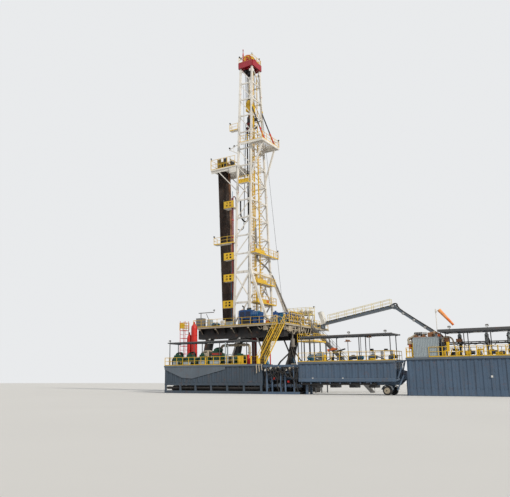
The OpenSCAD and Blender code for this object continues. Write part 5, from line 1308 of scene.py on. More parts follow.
class RIG_OT_substructure_fittings(bpy.types.Operator):
    """Adds cylinders, preventer bolts, valves, lines and service hoses under the floor"""

    bl_idname = "rig.substructure_fittings"
    bl_label = "Substructure fittings"

    def execute(self, context):
        edges = [plate(-0.80, 0.87, -0.606, -0.600, 0.990, 1.012, 0.001),
                 plate(0.870, 0.876, -0.60, 1.0, 0.990, 1.012, 0.001)]
        for x in (-0.66, -0.36, -0.06, 0.24, 0.54):
            edges.append(rod((x, -0.592, 0.985), (x + 0.01, -0.485, 0.872), 0.0075, 6))
            edges.append(plate(x - 0.012, x + 0.012, -0.600, -0.594, 0.965, 0.990))
        joined("floor_edge_plates", edges, "beige_paint")
        ribs = []
        for x in [-0.70 + 0.10 * k for k in range(15)]:
            ribs.append(plate(x - 0.003, x + 0.003, -0.502, -0.494, 0.885, 0.99))
        ribs.append(plate(-0.74, 0.80, -0.512, -0.494, 0.876, 0.886))
        joined("girder_stiffeners", ribs, "deck_steel")
        # raising cylinders and pad-eye pins
        rods, barrels = [], []
        for sy in (-0.45, 0.45):
            for x0, x1 in ((-0.30, -0.02), (0.60, 0.30)):
                a, b = Vector((x0, sy, 0.16)), Vector((x1, sy, 0.86))
                barrels.append(rod(a, a.lerp(b, 0.55), 0.026, 18, 0.003))
                rods.append(rod(a.lerp(b, 0.5), b, 0.013, 14))
        joined("raising_cylinders", barrels, "teal_paint")
        joined("raising_rods", rods, "bare_steel")
        pins = [rod((x, sy - 0.06, z), (x, sy + 0.06, z), 0.022, 18, 0.002) for sy in (-0.45, 0.45)
                for x, z in ((-0.64, 0.15), (-0.47, 0.85), (0.42, 0.15), (0.59, 0.85))]
        joined("leg_pins", pins, "bare_steel")
        # preventer stack: bolts, side valves and lines
        red, studs = [], []
        for z in (0.10, 0.26, 0.42, 0.56):
            red.append(rod((0, 0, z - 0.009), (0, 0, z + 0.009), 0.068, 28, 0.001))
            studs += [rod((0.061 * math.cos(a), 0.061 * math.sin(a), z - 0.016),
                          (0.061 * math.cos(a), 0.061 * math.sin(a), z + 0.016), 0.0045, 6)
                      for a in [math.pi * k / 6 for k in range(12)]]
        for sy in (-1, 1):
            for k in range(2):
                red += [plate(-0.020, 0.020, sy * (0.10 + 0.05 * k), sy * (0.135 + 0.05 * k), 0.325,
                              0.365, 0.004)]
            red += [rod((0, sy * 0.06, 0.345), (0, sy * 0.24, 0.345), 0.012, 12)]
        red += [rod((0.0, -0.24, 0.345), (0.42, -0.24, 0.345), 0.010, 12),
                rod((0.42, -0.24, 0.345), (0.42, -0.24, 0.62), 0.010, 12)]
        red += [rod((0.50, -0.50, 0.80), (0.50, -0.47, 0.80), 0.036, 20, 0.004),
                rod((0.50, -0.485, 0.80), (0.50, -0.485, 0.87), 0.012, 12)]
        joined("preventer_valves", red, "red_paint")
        joined("preventer_studs", studs, "bare_steel")
        wheels = []
        for sy in (-1, 1):
            for k in range(2):
                wheels += handwheel((0.034, sy * (0.118 + 0.05 * k), 0.345), "X", 0.016)
        joined("preventer_handwheels", wheels, "yellow_paint")
        # service hoses fan out of a junction drum under the winch end
        drum = [rod((0.82, -0.26, 0.70), (0.82, -0.26, 0.80), 0.034, 20, 0.004),
                rod((0.82, -0.26, 0.675), (0.82, -0.26, 0.70), 0.042, 20, 0.003),
                rod((0.82, -0.26, 0.80), (0.82, -0.26, 0.95), 0.012, 12),
                plate(0.76, 0.865, -0.31, -0.21, 0.955, 0.988, 0.003)]
        drum += [plate(0.56 + 0.09 * k, 0.575 + 0.09 * k, -0.57, -0.50, 0.915, 0.985, 0.002)
                 for k in range(4)]
        joined("service_junction", drum, "grey_lagging")
        tan = []
        for k in range(12):
            y = -0.56 + 0.07 * k
            tan.append(hanging((0.855 - 0.03 * (k % 3), y, 0.985), (0.84 + 0.012 * (k % 4), y + 0.09, 0.98),
                               0.05 + 0.022 * (k % 4), 0.0062, 6, 8))
        for k in range(7):
            x = 0.40 + 0.06 * k
            tan.append(hanging((x, -0.585, 0.985), (x + 0.08, -0.55 + 0.02 * (k % 3), 0.98),
                               0.04 + 0.02 * (k % 3), 0.006, 6, 8))
        tan += [rod((0.84, -0.52, 0.935), (0.84, -0.05, 0.935), 0.011, 12, 0.002),
                rod((0.60, -0.575, 0.955), (0.85, -0.575, 0.955), 0.010, 12, 0.002),
                plate(0.81, 0.862, -0.44, -0.36, 0.90, 0.985, 0.006),
                plate(0.80, 0.862, -0.10, -0.04, 0.91, 0.985, 0.006),
                plate(0.50, 0.57, -0.595, -0.54, 0.92, 0.985, 0.006)]
        tan += [flange((0.84, y, 0.935), "Y", 0.017)
                for y in (-0.42, -0.22)] + [flange((x, -0.575, 0.955), "X", 0.015) for x in (0.66, 0.76)]
        joined("underfloor_manifold", tan, "beige_paint")
        hoses = []
        for k, (x, y) in enumerate(((0.64, -0.44), (0.70, -0.52), (0.76, -0.40), (0.83, -0.50),
                                    (0.90, -0.42), (0.97, -0.46),
                                    (1.03, -0.34), (0.74, -0.30))):
            top = (0.82 + 0.028 * math.cos(k * 0.8), -0.26 + 0.028 * math.sin(k * 0.8), 0.68)
            hoses.append(pipe_run([top, (top[0] * 0.6 + x * 0.4, top[1] * 0.6 + y * 0.4, 0.56),
                                   (x, y, 0.38), (x, y, 0.10), (x + 0.02, y, 0.012)], 0.0085, 8))
        for k in range(5):
            hoses.append(hanging((-0.50 + 0.18 * k, -0.47, 0.93),
                                 (-0.36 + 0.18 * k, -0.40, 0.88), 0.07, 0.006))
        joined("service_hoses_below", hoses, "rubber")
        return {"FINISHED"}


class RIG_OT_arm_fittings(bpy.types.Operator):
    """Lays pipes and cables in the service arm and hangs its hoses at the knuckle"""

    bl_idname = "rig.arm_fittings"
    bl_label = "Service arm pipes"

    def execute(self, context):
        a, b, c = Vector((0.97, 0.74, 1.101)), Vector((2.07, 0.74, 1.298)), Vector((2.70, 0.74, 0.84))
        up = Vector((-0.18, 0, 0.98)) * 0.024
        pipes = [rod(a + up + Vector((0, dy, 0)), b + up + Vector((0, dy, 0)), 0.0055, 8)
                 for dy in (-0.045, -0.03, -0.015, 0.0, 0.015, 0.03, 0.045)]
        cross = []
        for k in range(14):
            point = a.lerp(b, (k + 0.5) / 14) + up
            cross.append(box(point - Vector((0.003, 0.055, 0.008)),
                             point + Vector((0.003, 0.055, 0.0)), 0.001))
        joined("arm_pipes", pipes, "machine_black")
        joined("arm_pipe_clamps", cross, "pale_yellow_paint")
        boom = []
        for dy in (-0.025, 0.0, 0.025):
            boom.append(pipe_run([b + up + Vector((-0.03, dy, 0)), b + Vector((0.05, dy, 0.052)),
                                  b.lerp(c, 0.12) + Vector((0.016, dy, 0.026)),
                                  b.lerp(c, 0.5) + Vector((0.014, dy, 0.022)),
                                  c + Vector((0.010, dy, 0.024)), c + Vector((0.03, dy, -0.06))], 0.007, 8))
        joined("boom_hoses", boom, "rubber")
        steel = [rod((2.08, 0.74 + sy * 0.062, 1.30), (2.08, 0.74 + sy * 0.072, 1.30), 0.018, 16, 0.002)
                 for sy in (-1, 1)]
        steel += [flange(b.lerp(c, t) + Vector((0, 0, 0.0)), "Y", 0.02, 0.055) for t in (0.25, 0.5, 0.75)]
        joined("arm_pins", steel, "bare_steel")
        return {"FINISHED"}


class RIG_OT_tank_fittings(bpy.types.Operator):
    """Adds the mud tanks' edge trims, hatches, pumps, pipes and deck gear"""

    bl_idname = "rig.tank_fittings"
    bl_label = "Mud tank fittings"

    def execute(self, context):
        trims = []
        for x0, x1, top in TANKS:
            trims.append(plate(x0 - 0.006, x1 + 0.006, -1.5125, -1.5062, top - 0.020, top + 0.006, 0.001))
            trims.append(plate(x0 - 0.006, x1 + 0.006, -1.1938, -1.1875, top - 0.020, top + 0.006, 0.001))
        # V-shaped hopper relief on the shaker tank's near face, in paint lighter than the tank: a real
        # plate, with painted sunlight in its lighter tone above the shadow lines
        trims.append(cut_plate([(-0.655, 0.362), (-0.655, 0.335), (-0.34, 0.216), (-0.16, 0.203),
                                (0.40, 0.326), (0.40, 0.362)],
                               -1.5085, -1.5062))
        trims += [plate(x - 0.004, x + 0.004, -1.511, -1.5062, 0.345, 0.362, 0.001)
                  for x in (-0.52, -0.36, -0.20, -0.04, 0.12, 0.28)]
        joined("tank_edge_trims", trims, "arm_paint")
        # ribs run on down to the runners of the right tank, and a low stringer on the middle one
        ribs = []
        for k in range(15):
            x = 2.94 + 0.08 * k
            ribs.append(plate(x - 0.016, x + 0.016, -1.504, -1.4995, 0.004, 0.0895, 0.001))
        ribs += [plate(1.512, 2.758, -1.5085, -1.500, 0.158, 0.196, 0.002),
                 plate(1.512, 2.758, TANK_FACE, -1.494, 0.196, 0.200)]
        joined("tank_lower_ribs", ribs, "tank_paint")
        # clean-out hatches on the far side, with their clamps and handwheels, and small plates on the near
        # side
        doors, clamps = [], []
        for x, z in ((-0.45, 0.20), (0.25, 0.20), (0.75, 0.20), (1.80, 0.26), (2.40, 0.26), (3.25, 0.20),
                     (3.75, 0.20)):
            doors += [rod((x, -1.199, z), (x, -1.190, z), 0.036, 24, 0.001),
                      rod((x, -1.199, z), (x, -1.194, z), 0.044, 24, 0.001)]
            clamps += [rod((x + 0.040 * math.cos(a), -1.194, z + 0.040 * math.sin(a)),
                           (x + 0.040 * math.cos(a), -1.188, z + 0.040 * math.sin(a)), 0.0035, 6)
                       for a in [math.pi * k / 4 for k in range(8)]]
            clamps += handwheel((x, -1.184, z), "Y", 0.014)
        joined("cleanout_doors", doors, "arm_paint")
        joined("cleanout_clamps", clamps, "bare_steel")
        labels = [plate(x, x + 0.020, -1.5062, -1.5046, z, z + 0.022, 0.0005)
                  for x, z in ((1.70, 0.185), (2.10, 0.183), (3.80, 0.20))]
        joined("blank_plates", labels, "white_paint", smooth=False)
        # suction and dump lines low in the shaker tank's skid and under the trailer, and a black sheet
        # along the skid that is painted shade under the tank
        dark = [pipe_run([(-0.63, -1.46, 0.075), (0.2, -1.46, 0.075), (0.90, -1.46, 0.075),
                          (0.945, -1.44, 0.09), (0.965, -1.41, 0.11)], 0.021, 10),
                rod((-0.60, -1.38, 0.060), (0.94, -1.38, 0.060), 0.024, 12),
                rod((-0.60, -1.27, 0.060), (0.94, -1.27, 0.060), 0.024, 12),
                rod((1.53, -1.47, 0.130), (2.52, -1.47, 0.130), 0.013, 10),
                rod((1.53, -1.23, 0.130), (2.52, -1.23, 0.130), 0.013, 10),
                # black sheet along the skid: painted shade under the tank
                plate(-0.62, 0.93, -1.335, -1.320, 0.0, 0.108, 0.002)]
        dark += [rod((x, -1.46, 0.075), (x, -1.46, 0.112), 0.015, 10)
                 for x in (-0.45, -0.1, 0.25, 0.6, 0.85)]
        dark += [flange((x, -1.46, 0.075), "X", 0.028) for x in (-0.52, -0.2, 0.12, 0.44, 0.76)]
        dark += [plate(1.66 + 0.25 * k, 1.74 + 0.25 * k, -1.44, -1.26, 0.086, 0.131, 0.004)
                 for k in range(4)]
        joined("skid_pipes_and_shade_sheet", dark, "machine_black")
        # agitators: cowls, gearbox lids and grab rings
        cowls = []
        for top, places in ((MIDDLE_DECK, (2.67, 2.42, 2.17)), (RIGHT_DECK, (4.01, 3.777, 3.543))):
            for x in places:
                z = top + 0.045
                cowls += [rod((x + 0.075, -1.37, z), (x + 0.090, -1.37, z), 0.022, 18, 0.002),
                          rod((x, -1.37, top + 0.056), (x, -1.37, top + 0.064), 0.016, 16, 0.001)]
                fin = rod((x + 0.014, -1.37, z), (x + 0.0165, -1.37, z), 0.0225, 16)
                cowls.append(repeat(fin, 7, (0.008, 0, 0)))
                cowls += [plate(x + 0.015, x + 0.055, -1.384, -1.356, z + 0.018, z + 0.034, 0.002),
                          rod((x, -1.37, top), (x, -1.37, top + 0.014), 0.034, 20, 0.002)]
        joined("agitator_cowls", cowls, "arm_paint")
        # gear on the middle tank's deck
        z = MIDDLE_DECK
        pale = motor((1.78, -1.40, z + 0.078), 0.085,
                     0.040) + [plate(1.73, 1.83, -1.45, -1.35, z, z + 0.034, 0.004)]
        pale += [plate(1.60, 1.66, -1.32, -1.25, z, z + 0.10, 0.004),
                 rod((2.03, -1.28, z), (2.03, -1.28, z + 0.07), 0.020, 16, 0.003)]
        joined("deck_pumps_grey", pale, "cabin_paint")
        orange = placed([rod((-0.062, 0, 0), (0.052, 0, 0), 0.013, 14, 0.003),
                         rod((-0.075, 0, 0), (-0.060, 0, 0), 0.018, 14, 0.002),
                         plate(-0.02, 0.02, -0.010, 0.010, 0.010, 0.022, 0.002)], (1.955, -1.40, 0.556), 0,
                         math.radians(-7))
        joined("mud_gun", orange, "orange_paint")
        black = placed([rod((-0.055, 0, 0), (0.055, 0, 0), 0.009, 10),
                        rod((-0.01, 0, -0.02), (-0.01, 0, 0), 0.014, 12)], (2.07, -1.42, 0.545), 0,
                        math.radians(-14))
        black += [rod((1.955, -1.40, z), (1.955, -1.40, 0.545), 0.008, 10),
                  rod((2.06, -1.42, z), (2.06, -1.42, 0.53), 0.008, 10),
                  rod((2.13, -1.44, z), (2.02, -1.40, 0.50), 0.006, 8),
                  rod((1.90, -1.30, z), (1.90, -1.30, z + 0.06), 0.018, 14, 0.003),
                  plate(2.40, 2.66, -1.27, -1.215, 0.528, 0.536, 0.001),
                  plate(2.38, 2.42, -1.26, -1.225, 0.536, 0.560, 0.003),
                  plate(2.56, 2.60, -1.26, -1.225, 0.536, 0.555, 0.003)]
        black += [plate(x, x + 0.008, y, y + 0.008, z, 0.528) for x in (2.405, 2.52, 2.645)
                  for y in (-1.268, -1.225)]
        joined("deck_gear_dark", black, "machine_black")
        steel = [rod((x, y, z), (x, y, h), 0.004, 8)
                 for x, y, h in ((1.90, -1.48, 0.70), (2.185, -1.48, 0.66), (2.415, -1.35, 0.72),
                                 (2.35, -1.48, 0.715))]
        joined("lamp_posts", steel, "canopy_paint")
        brown = placed([plate(-0.045, 0.045, -0.006, 0.006, 0, 0.006, 0.001),
                        plate(-0.025, -0.004, -0.012, 0.012, 0.006, 0.028, 0.003),
                        plate(0.008, 0.026, -0.012, 0.012, 0.006, 0.024, 0.003)], (2.185, -1.48, 0.640))
        brown += placed([plate(-0.032, 0.032, -0.006, 0.006, 0, 0.006, 0.001),
                         plate(0.0, 0.022, -0.012, 0.012, 0.006, 0.032, 0.003),
                         plate(-0.026, -0.012, -0.010, 0.010, 0.006, 0.022, 0.003)], (2.415, -1.35, 0.690))
        joined("deck_lamps", brown, "brown_paint")
        blue = [rod((2.30, -1.46, z), (2.30, -1.46, z + 0.045), 0.013, 14, 0.003),
                rod((1.70, -1.47, z), (1.70, -1.47, z + 0.05), 0.015, 14, 0.003)]
        blue += motor((1.64, -1.42, z + 0.050), 0.07, 0.026,
                      "Y") + motor((2.27, -1.30, z + 0.045), 0.08, 0.022)
        joined("deck_pumps_blue", blue, "teal_paint")
        yellow = [plate(2.44, 2.50, -1.46, -1.42, z, z + 0.030, 0.004),
                  plate(1.86, 1.89, -1.49, -1.46, z, z + 0.085, 0.003),
                  rod((3.19, -1.445, RIGHT_DECK), (3.19, -1.445, 0.515), 0.036, 24, 0.003),
                  ring((3.19, -1.445, 0.47), 0.036, 0.003, "Z", 24, 6),
                  plate(3.54, 3.60, -1.47, -1.41, RIGHT_DECK, 0.49, 0.005),
                  plate(3.86, 3.93, -1.47, -1.42, RIGHT_DECK, 0.475, 0.004)]
        yellow += [rod((x, -1.46, RIGHT_DECK), (x + 0.02, -1.40, 0.53), 0.004, 6)
                   for x in (3.38, 3.66, 3.72, 3.95)]
        joined("deck_drums_yellow", yellow, "yellow_paint")
        # right tank's deck: upright mixers with a header behind the rails
        z = RIGHT_DECK
        pale = []
        for x in (3.46, 3.75, 3.98):
            pale += [rod((x, -1.27, 0.60), (x, -1.27, 0.685), 0.022, 18, 0.004),
                     rod((x, -1.27, 0.585), (x, -1.27, 0.60), 0.028, 18, 0.002),
                     rod((x, -1.27, 0.685), (x, -1.27, 0.70), 0.014, 14, 0.002)]
        joined("mixer_heads", pale, "cabin_paint")
        dark = [rod((x, -1.27, z), (x, -1.27, 0.59), 0.013, 12) for x in (3.46, 3.75, 3.98)]
        dark += [plate(3.29, 4.06, -1.276, -1.264, 0.575, 0.590, 0.001),
                 rod((3.29, -1.29, 0.60), (4.06, -1.29, 0.60), 0.006, 8)]
        dark += [plate(x, x + 0.05, -1.34, -1.29, z, z + 0.06, 0.004) for x in (3.36, 3.64, 3.88)]
        joined("mixer_stands", dark, "canopy_paint")
        near = []
        for k in range(11):
            x = 3.31 + 0.073 * k
            near.append(plate(x, x + 0.007, TANK_FACE, -1.500, z, z + 0.115))
        near += [plate(3.16, 4.10, -1.5035, -1.5015, z, z + 0.012)]
        for x, h in ((3.32, 0.07), (3.475, 0.055), (3.69, 0.075), (3.80, 0.06), (4.02, 0.07)):
            near += [rod((x, -1.46, z), (x, -1.46, z + h), 0.017, 16, 0.003),
                     rod((x, -1.46, z + h), (x + 0.05, -1.45, z + h), 0.008, 10)]
        joined("rail_toe_boards", near, "yellow_paint", smooth=False)
        slung = [hanging((3.32 + 0.09 * k, -1.30, 0.60 - 0.01 * (k % 2)), (3.41 + 0.09 * k, -1.30, 0.60),
                         0.025 + 0.01 * (k % 3), 0.004) for k in range(8)]
        slung += [pipe_run([(3.46 + dx, -1.29, 0.66), (3.50 + dx, -1.33, 0.60), (3.48 + dx, -1.36, 0.50),
                            (3.50 + dx, -1.38, z)], 0.006, 8) for dx in (0, 0.29, 0.50)]
        slung += [pipe_run([(1.60 + 0.28 * k, -1.44, z - 0.02), (1.66 + 0.28 * k, -1.43, 0.45),
                            (1.74 + 0.28 * k, -1.46, 0.44), (1.80 + 0.28 * k, -1.44, z - 0.02)], 0.006, 8)
                  for k in range(4)]
        joined("deck_hoses", slung, "rubber")
        return {"FINISHED"}


class RIG_OT_shaker_fittings(bpy.types.Operator):
    """Adds the shakers' vibrators, springs, clamps and feed boxes, and the boxes beside them"""

    bl_idname = "rig.shaker_fittings"
    bl_label = "Shaker fittings"

    def execute(self, context):
        z = SHAKER_DECK
        green, springs, clamps, dark, feed = [], [], [], [], []
        for i, x in enumerate((-0.56, -0.33, -0.10, 0.13)):
            top = z + (0.05 if i == 3 else 0.0)
            green += motor((x + 0.060, -1.395, top + 0.152), 0.045, 0.018,
                           "Y") + motor((x + 0.060, -1.305, top + 0.152), 0.045, 0.018, "Y")
            green += [plate(x - 0.004, x + 0.164, y, y + 0.004, top + 0.038, top + 0.056, 0.001)
                      for y in (-1.424, -1.280)]
            green += [plate(x + dx, x + dx + 0.006, -1.4155, -1.4085, top + 0.045, top + 0.10, 0.001)
                      for dx in (0.02, 0.06, 0.10, 0.14)]
            springs += [rod((x + dx, y, z + 0.030), (x + dx, y, z + 0.050), 0.010, 14, 0.002)
                        for dx in (0.02, 0.14) for y in (-1.432, -1.272)]
            springs += [ring((x + dx, y, z + 0.036 + 0.006 * k), 0.010, 0.002, "Z", 14, 4)
                        for dx in (0.02, 0.14) for y in (-1.432, -1.272) for k in range(2)]
            clamps += [rod((x + 0.02 + 0.03 * k, -1.424, top + 0.048),
                           (x + 0.02 + 0.03 * k, -1.428, top + 0.048), 0.004, 6) for k in range(5)]
            dark += [plate(x + 0.165, x + 0.190, -1.41, -1.29, z, z + 0.035, 0.003),
                     plate(x + 0.03, x + 0.155, -1.41, -1.29, top + 0.096, top + 0.101, 0.001)]
            feed += [plate(x - 0.028, x - 0.002, -1.40, -1.30, z, top + 0.125, 0.003)]
            feed += [pipe_run([(x - 0.015, -1.35, top + 0.12), (x - 0.015, -1.33, top + 0.17),
                               (x + 0.01, -1.28, top + 0.19), (x + 0.04, -1.245, top + 0.17),
                               (x + 0.05, -1.235, z)], 0.013, 10)]
        green += [plate(0.13, 0.29, -1.4245, -1.4205, z + 0.12, z + 0.172, 0.001),
                  plate(0.14, 0.24, -1.40, -1.30, z + 0.20, z + 0.225, 0.003)]
        green += [rod((0.655, -1.37, z + 0.08), (0.668, -1.37, z + 0.08), 0.044, 24, 0.003),
                  plate(0.53, 0.60, -1.40, -1.34, z + 0.125, z + 0.15, 0.004)]
        fin = ring((0.515, -1.37, z + 0.08), 0.053, 0.0018, "X", 24, 4)
        green.append(repeat(fin, 12, (0.011, 0, 0)))
        joined("shaker_motors", green, "green_paint")
        joined("shaker_springs", springs, "beige_paint")
        joined("shaker_clamps", clamps, "bare_steel")
        joined("shaker_screens", dark, "machine_black", smooth=False)
        joined("shaker_feed_boxes", feed, "green_paint")
        red = [plate(0.128, 0.292, -1.4285, -1.4245, z + 0.138 + 0.018 * k, z + 0.147 + 0.018 * k, 0.001)
               for k in range(2)]
        red += [rod((0.105, -1.30, z), (0.105, -1.30, z + 0.19), 0.010, 12),
                rod((0.735, -1.44, z), (0.735, -1.44, z + 0.13), 0.016, 14, 0.002),
                rod((0.77, -1.46, z), (0.77, -1.46, z + 0.08), 0.012, 14, 0.002)]
        joined("shaker_red_bands", red, "red_paint")
        grey = [plate(x0, x1, -1.492, -1.450, z, z + h, 0.004) for x0, x1, h in
                ((-0.52, -0.45, 0.058), (-0.33, -0.22, 0.050), (-0.06, 0.05, 0.066), (0.13, 0.28, 0.062))]
        grey += [plate(x0 + 0.01, x1 - 0.01, -1.4935, -1.492, z + 0.012, z + 0.045, 0.0005)
                 for x0, x1 in ((-0.52, -0.45), (-0.33, -0.22), (-0.06, 0.05), (0.13, 0.28))]
        grey += [rod((0.385, -1.47, z), (0.385, -1.47, 0.70), 0.009, 12),
                 rod((0.405, -1.44, z), (0.405, -1.44, 0.66), 0.007, 12),
                 pipe_run([(0.42, -1.47, z), (0.42, -1.47, 0.50), (0.45, -1.45, 0.53), (0.48, -1.42, 0.50),
                           (0.48, -1.42, z)], 0.008, 10)]
        joined("shaker_control_boxes", grey, "cabin_paint")
        yellow = [plate(0.555, 0.650, -1.4345, -1.4245, z, z + 0.112, 0.004),
                  plate(0.565, 0.640, -1.4365, -1.4345, z + 0.02, z + 0.095, 0.001)]
        yellow += [plate(x, x + 0.016, -1.50, -1.485, z, z + 0.105, 0.003) for x in (0.055, 0.80, 0.905)]
        yellow += [plate(0.87, 0.91, -1.46, -1.42, z, z + 0.07, 0.004)]
        joined("belt_guards", yellow, "yellow_paint")
        tan = [pipe_run([(-0.06 + dx, -1.33, z + 0.11), (-0.05 + dx, -1.35, z + 0.17),
                         (0.0 + dx, -1.37, z + 0.20), (0.06 + dx, -1.36, z + 0.19),
                         (0.10 + dx, -1.32, z + 0.16)],
                        0.012, 10) for dx in (-0.03, 0.03)]
        tan += [plate(-0.05, 0.02, -1.40, -1.34, z + 0.125, z + 0.175, 0.006),
                rod((0.03, -1.38, z + 0.12), (0.03, -1.38, z + 0.21), 0.015, 12, 0.003)]
        tan += [flange((0.17, -1.24, h), "Z", 0.026)
                for h in (0.46, 0.56)] + [flange((0.64, -1.24, h), "Z", 0.026) for h in (0.46, 0.56)]
        tan += [flange((x, -1.24, 0.67), "X", 0.026) for x in (0.26, 0.40, 0.55)]
        joined("return_line_flanges", tan, "beige_paint")
        black = [plate(-0.64, -0.60, -1.36, -1.24, z, z + 0.10, 0.003),
                 plate(0.33, 0.37, -1.40, -1.30, z, z + 0.12, 0.003),
                 plate(0.68, 0.74, -1.40, -1.32, z, z + 0.08, 0.003),
                 plate(0.44, 0.49, -1.36, -1.28, z, z + 0.14, 0.004)]
        black += motor((-0.20, -1.27, z + 0.03), 0.06, 0.022) + motor((0.42, -1.30, z + 0.03), 0.06, 0.022)
        black += [hanging((-0.50 + 0.22 * k, -1.455, z + 0.05), (-0.40 + 0.22 * k, -1.43, z + 0.06), 0.02,
                          0.005) for k in range(5)]
        joined("shaker_deck_gear", black, "machine_black")
        return {"FINISHED"}


class RIG_OT_manifold_fittings(bpy.types.Operator):
    """Fills the manifold bay with pumps, valves, handwheels and slung hoses"""

    bl_idname = "rig.manifold_fittings"
    bl_label = "Manifold fittings"

    def execute(self, context):
        pick = random.Random(11)
        dark = []
        for x in (1.08, 1.33):
            dark += motor((x + 0.06, -1.31, 0.075), 0.11, 0.036)
            dark += [rod((x - 0.03, -1.31, 0.075), (x - 0.005, -1.31, 0.075), 0.046, 22, 0.004),
                     rod((x - 0.018, -1.345, 0.10), (x - 0.018, -1.345, 0.20), 0.015, 12),
                     plate(x - 0.05, x + 0.13, -1.36, -1.26, 0.0, 0.034, 0.003)]
        # black sheet with thin ribs across the back of the bay: painted shade, standing in for the dark
        # space behind the bay
        dark += [plate(0.975, 1.505, -1.232, -1.226, 0.032, 0.347, 0.001)]
        dark += [plate(0.975 + 0.066 * k, 0.983 + 0.066 * k, -1.240, -1.232, 0.032, 0.347, 0.001)
                 for k in range(9)]
        joined("manifold_pumps_and_shade_sheet", dark, "machine_black")
        hoses = []
        for k in range(16):
            x = pick.uniform(0.99, 1.36)
            reach = pick.uniform(0.05, 0.15)
            hoses.append(hanging((x, -1.474 - 0.018 * (k % 3), 0.343),
                                 (x + reach, -1.474 - 0.012 * (k % 4), 0.345), pick.uniform(0.04, 0.17),
                                 pick.choice((0.005, 0.0065, 0.008)), 6, 8))
        for x in (1.02, 1.20, 1.26, 1.44, 1.475):
            hoses.append(pipe_run([(x, -1.485, 0.34), (x + 0.012, -1.488, 0.24), (x - 0.006, -1.486, 0.12),
                                   (x + 0.02, -1.480, 0.02)], 0.007, 8))
        joined("manifold_hoses", hoses, "rubber")
        pale, wheels = [], []
        for k, x in enumerate((1.025, 1.065, 1.105, 1.15, 1.175, 1.215, 1.33, 1.38, 1.43)):
            z = 0.318 + 0.012 * (k % 3)
            pale.append(flange((x, -1.486, z), "X" if k % 2 else "Z", 0.0125, 0.008))
            if k % 2:
                pale.append(rod((x, -1.488, z - 0.03), (x, -1.470, z + 0.02), 0.006, 8))
            else:
                wheels += handwheel((x, -1.4985, z - 0.01), "Y", 0.0115)
        pale += [pipe_run([(0.90 + 0.04 * k, -1.50, 0.385), (0.90 + 0.04 * k, -1.518, 0.37),
                           (0.905 + 0.04 * k, -1.518, 0.32),
                           (0.90 + 0.045 * k, -1.514, 0.27 + 0.02 * k)], 0.006, 8)
                 for k in range(3)]
        pale += [plate(1.41, 1.485, -1.5035, -1.5005, 0.378, 0.386, 0.001)]
        joined("manifold_valves", pale, "beige_paint")
        joined("manifold_handwheels", wheels, "white_paint")
        collars = []
        for y, z, r in ((-1.41, 0.11, 0.029), (-1.37, 0.205, 0.025), (-1.41, 0.30, 0.029)):
            collars += [flange((x, y, z), "X", r) for x in (1.02, 1.16, 1.26, 1.36, 1.48)]
            collars += [plate(x - 0.022, x + 0.022, y - 0.022, y + 0.022, z - 0.024, z + 0.034, 0.004)
                        for x in (1.205, 1.42)]
        joined("manifold_flanges", collars, "arm_paint")
        red = [rod((1.13, -1.47, 0.20), (1.13, -1.44, 0.20), 0.016, 14, 0.002),
               rod((1.345, -1.47, 0.16), (1.345, -1.44, 0.16), 0.014, 14, 0.002)]
        joined("manifold_gauges", red, "red_paint")
        return {"FINISHED"}


class RIG_OT_canopy_fittings(bpy.types.Operator):
    """Sheets the canopies with corrugated steel on purlins, with gutters and braces"""

    bl_idname = "rig.canopy_fittings"
    bl_label = "Canopy fittings"

    def execute(self, context):
        sheets, frames, lamps = [], [], []
        for x0, x1, y0, y1, top in CANOPIES:
            wave = plate(x0 - 0.004, x0 + 0.008, y0 - 0.004, y1 + 0.004, top, top + 0.003, 0.0008)
            sheets.append(repeat(wave, int((x1 - x0) / 0.024), (0.024, 0, 0)))
            sheets.append(plate(x0 - 0.006, x1 + 0.006, y0 - 0.006, y0, CANOPY_LOW - 0.003,
                                top + 0.003, 0.001))
            sheets.append(plate(x0 - 0.006, x1 + 0.006, y1, y1 + 0.006, CANOPY_LOW - 0.003,
                                top + 0.003, 0.001))
            for y in (y0 + 0.03, (y0 + y1) / 2, -1.23):
                frames.append(plate(x0, x1, y, y + 0.006, CANOPY_LOW - 0.006, CANOPY_LOW + 0.001))
            for i in range(4):
                x = x0 + 0.0245 + i * (x1 - x0 - 0.052) / 3
                frames.append(plate(x - 0.003, x + 0.003, y0 + 0.01, y1 - 0.01, CANOPY_LOW - 0.009,
                                    CANOPY_LOW - 0.001))
                for y in (y0 + 0.0125, -1.2135):
                    frames.append(plate(x - 0.012, x + 0.012, y - 0.007, y + 0.007, CANOPY_LOW - 0.006,
                                        CANOPY_LOW, 0.001))
            for i in range(3):
                x = x0 + (x1 - x0) * (i + 0.5) / 3
                lamps.append(plate(x - 0.05, x + 0.05, -1.355, -1.345, CANOPY_LOW - 0.016,
                                   CANOPY_LOW - 0.008, 0.002))
        joined("canopy_sheets", sheets, "canopy_paint", smooth=False)
        joined("canopy_frames", frames, "arm_paint")
        joined("canopy_lamps", lamps, "lamp_lens")
        return {"FINISHED"}


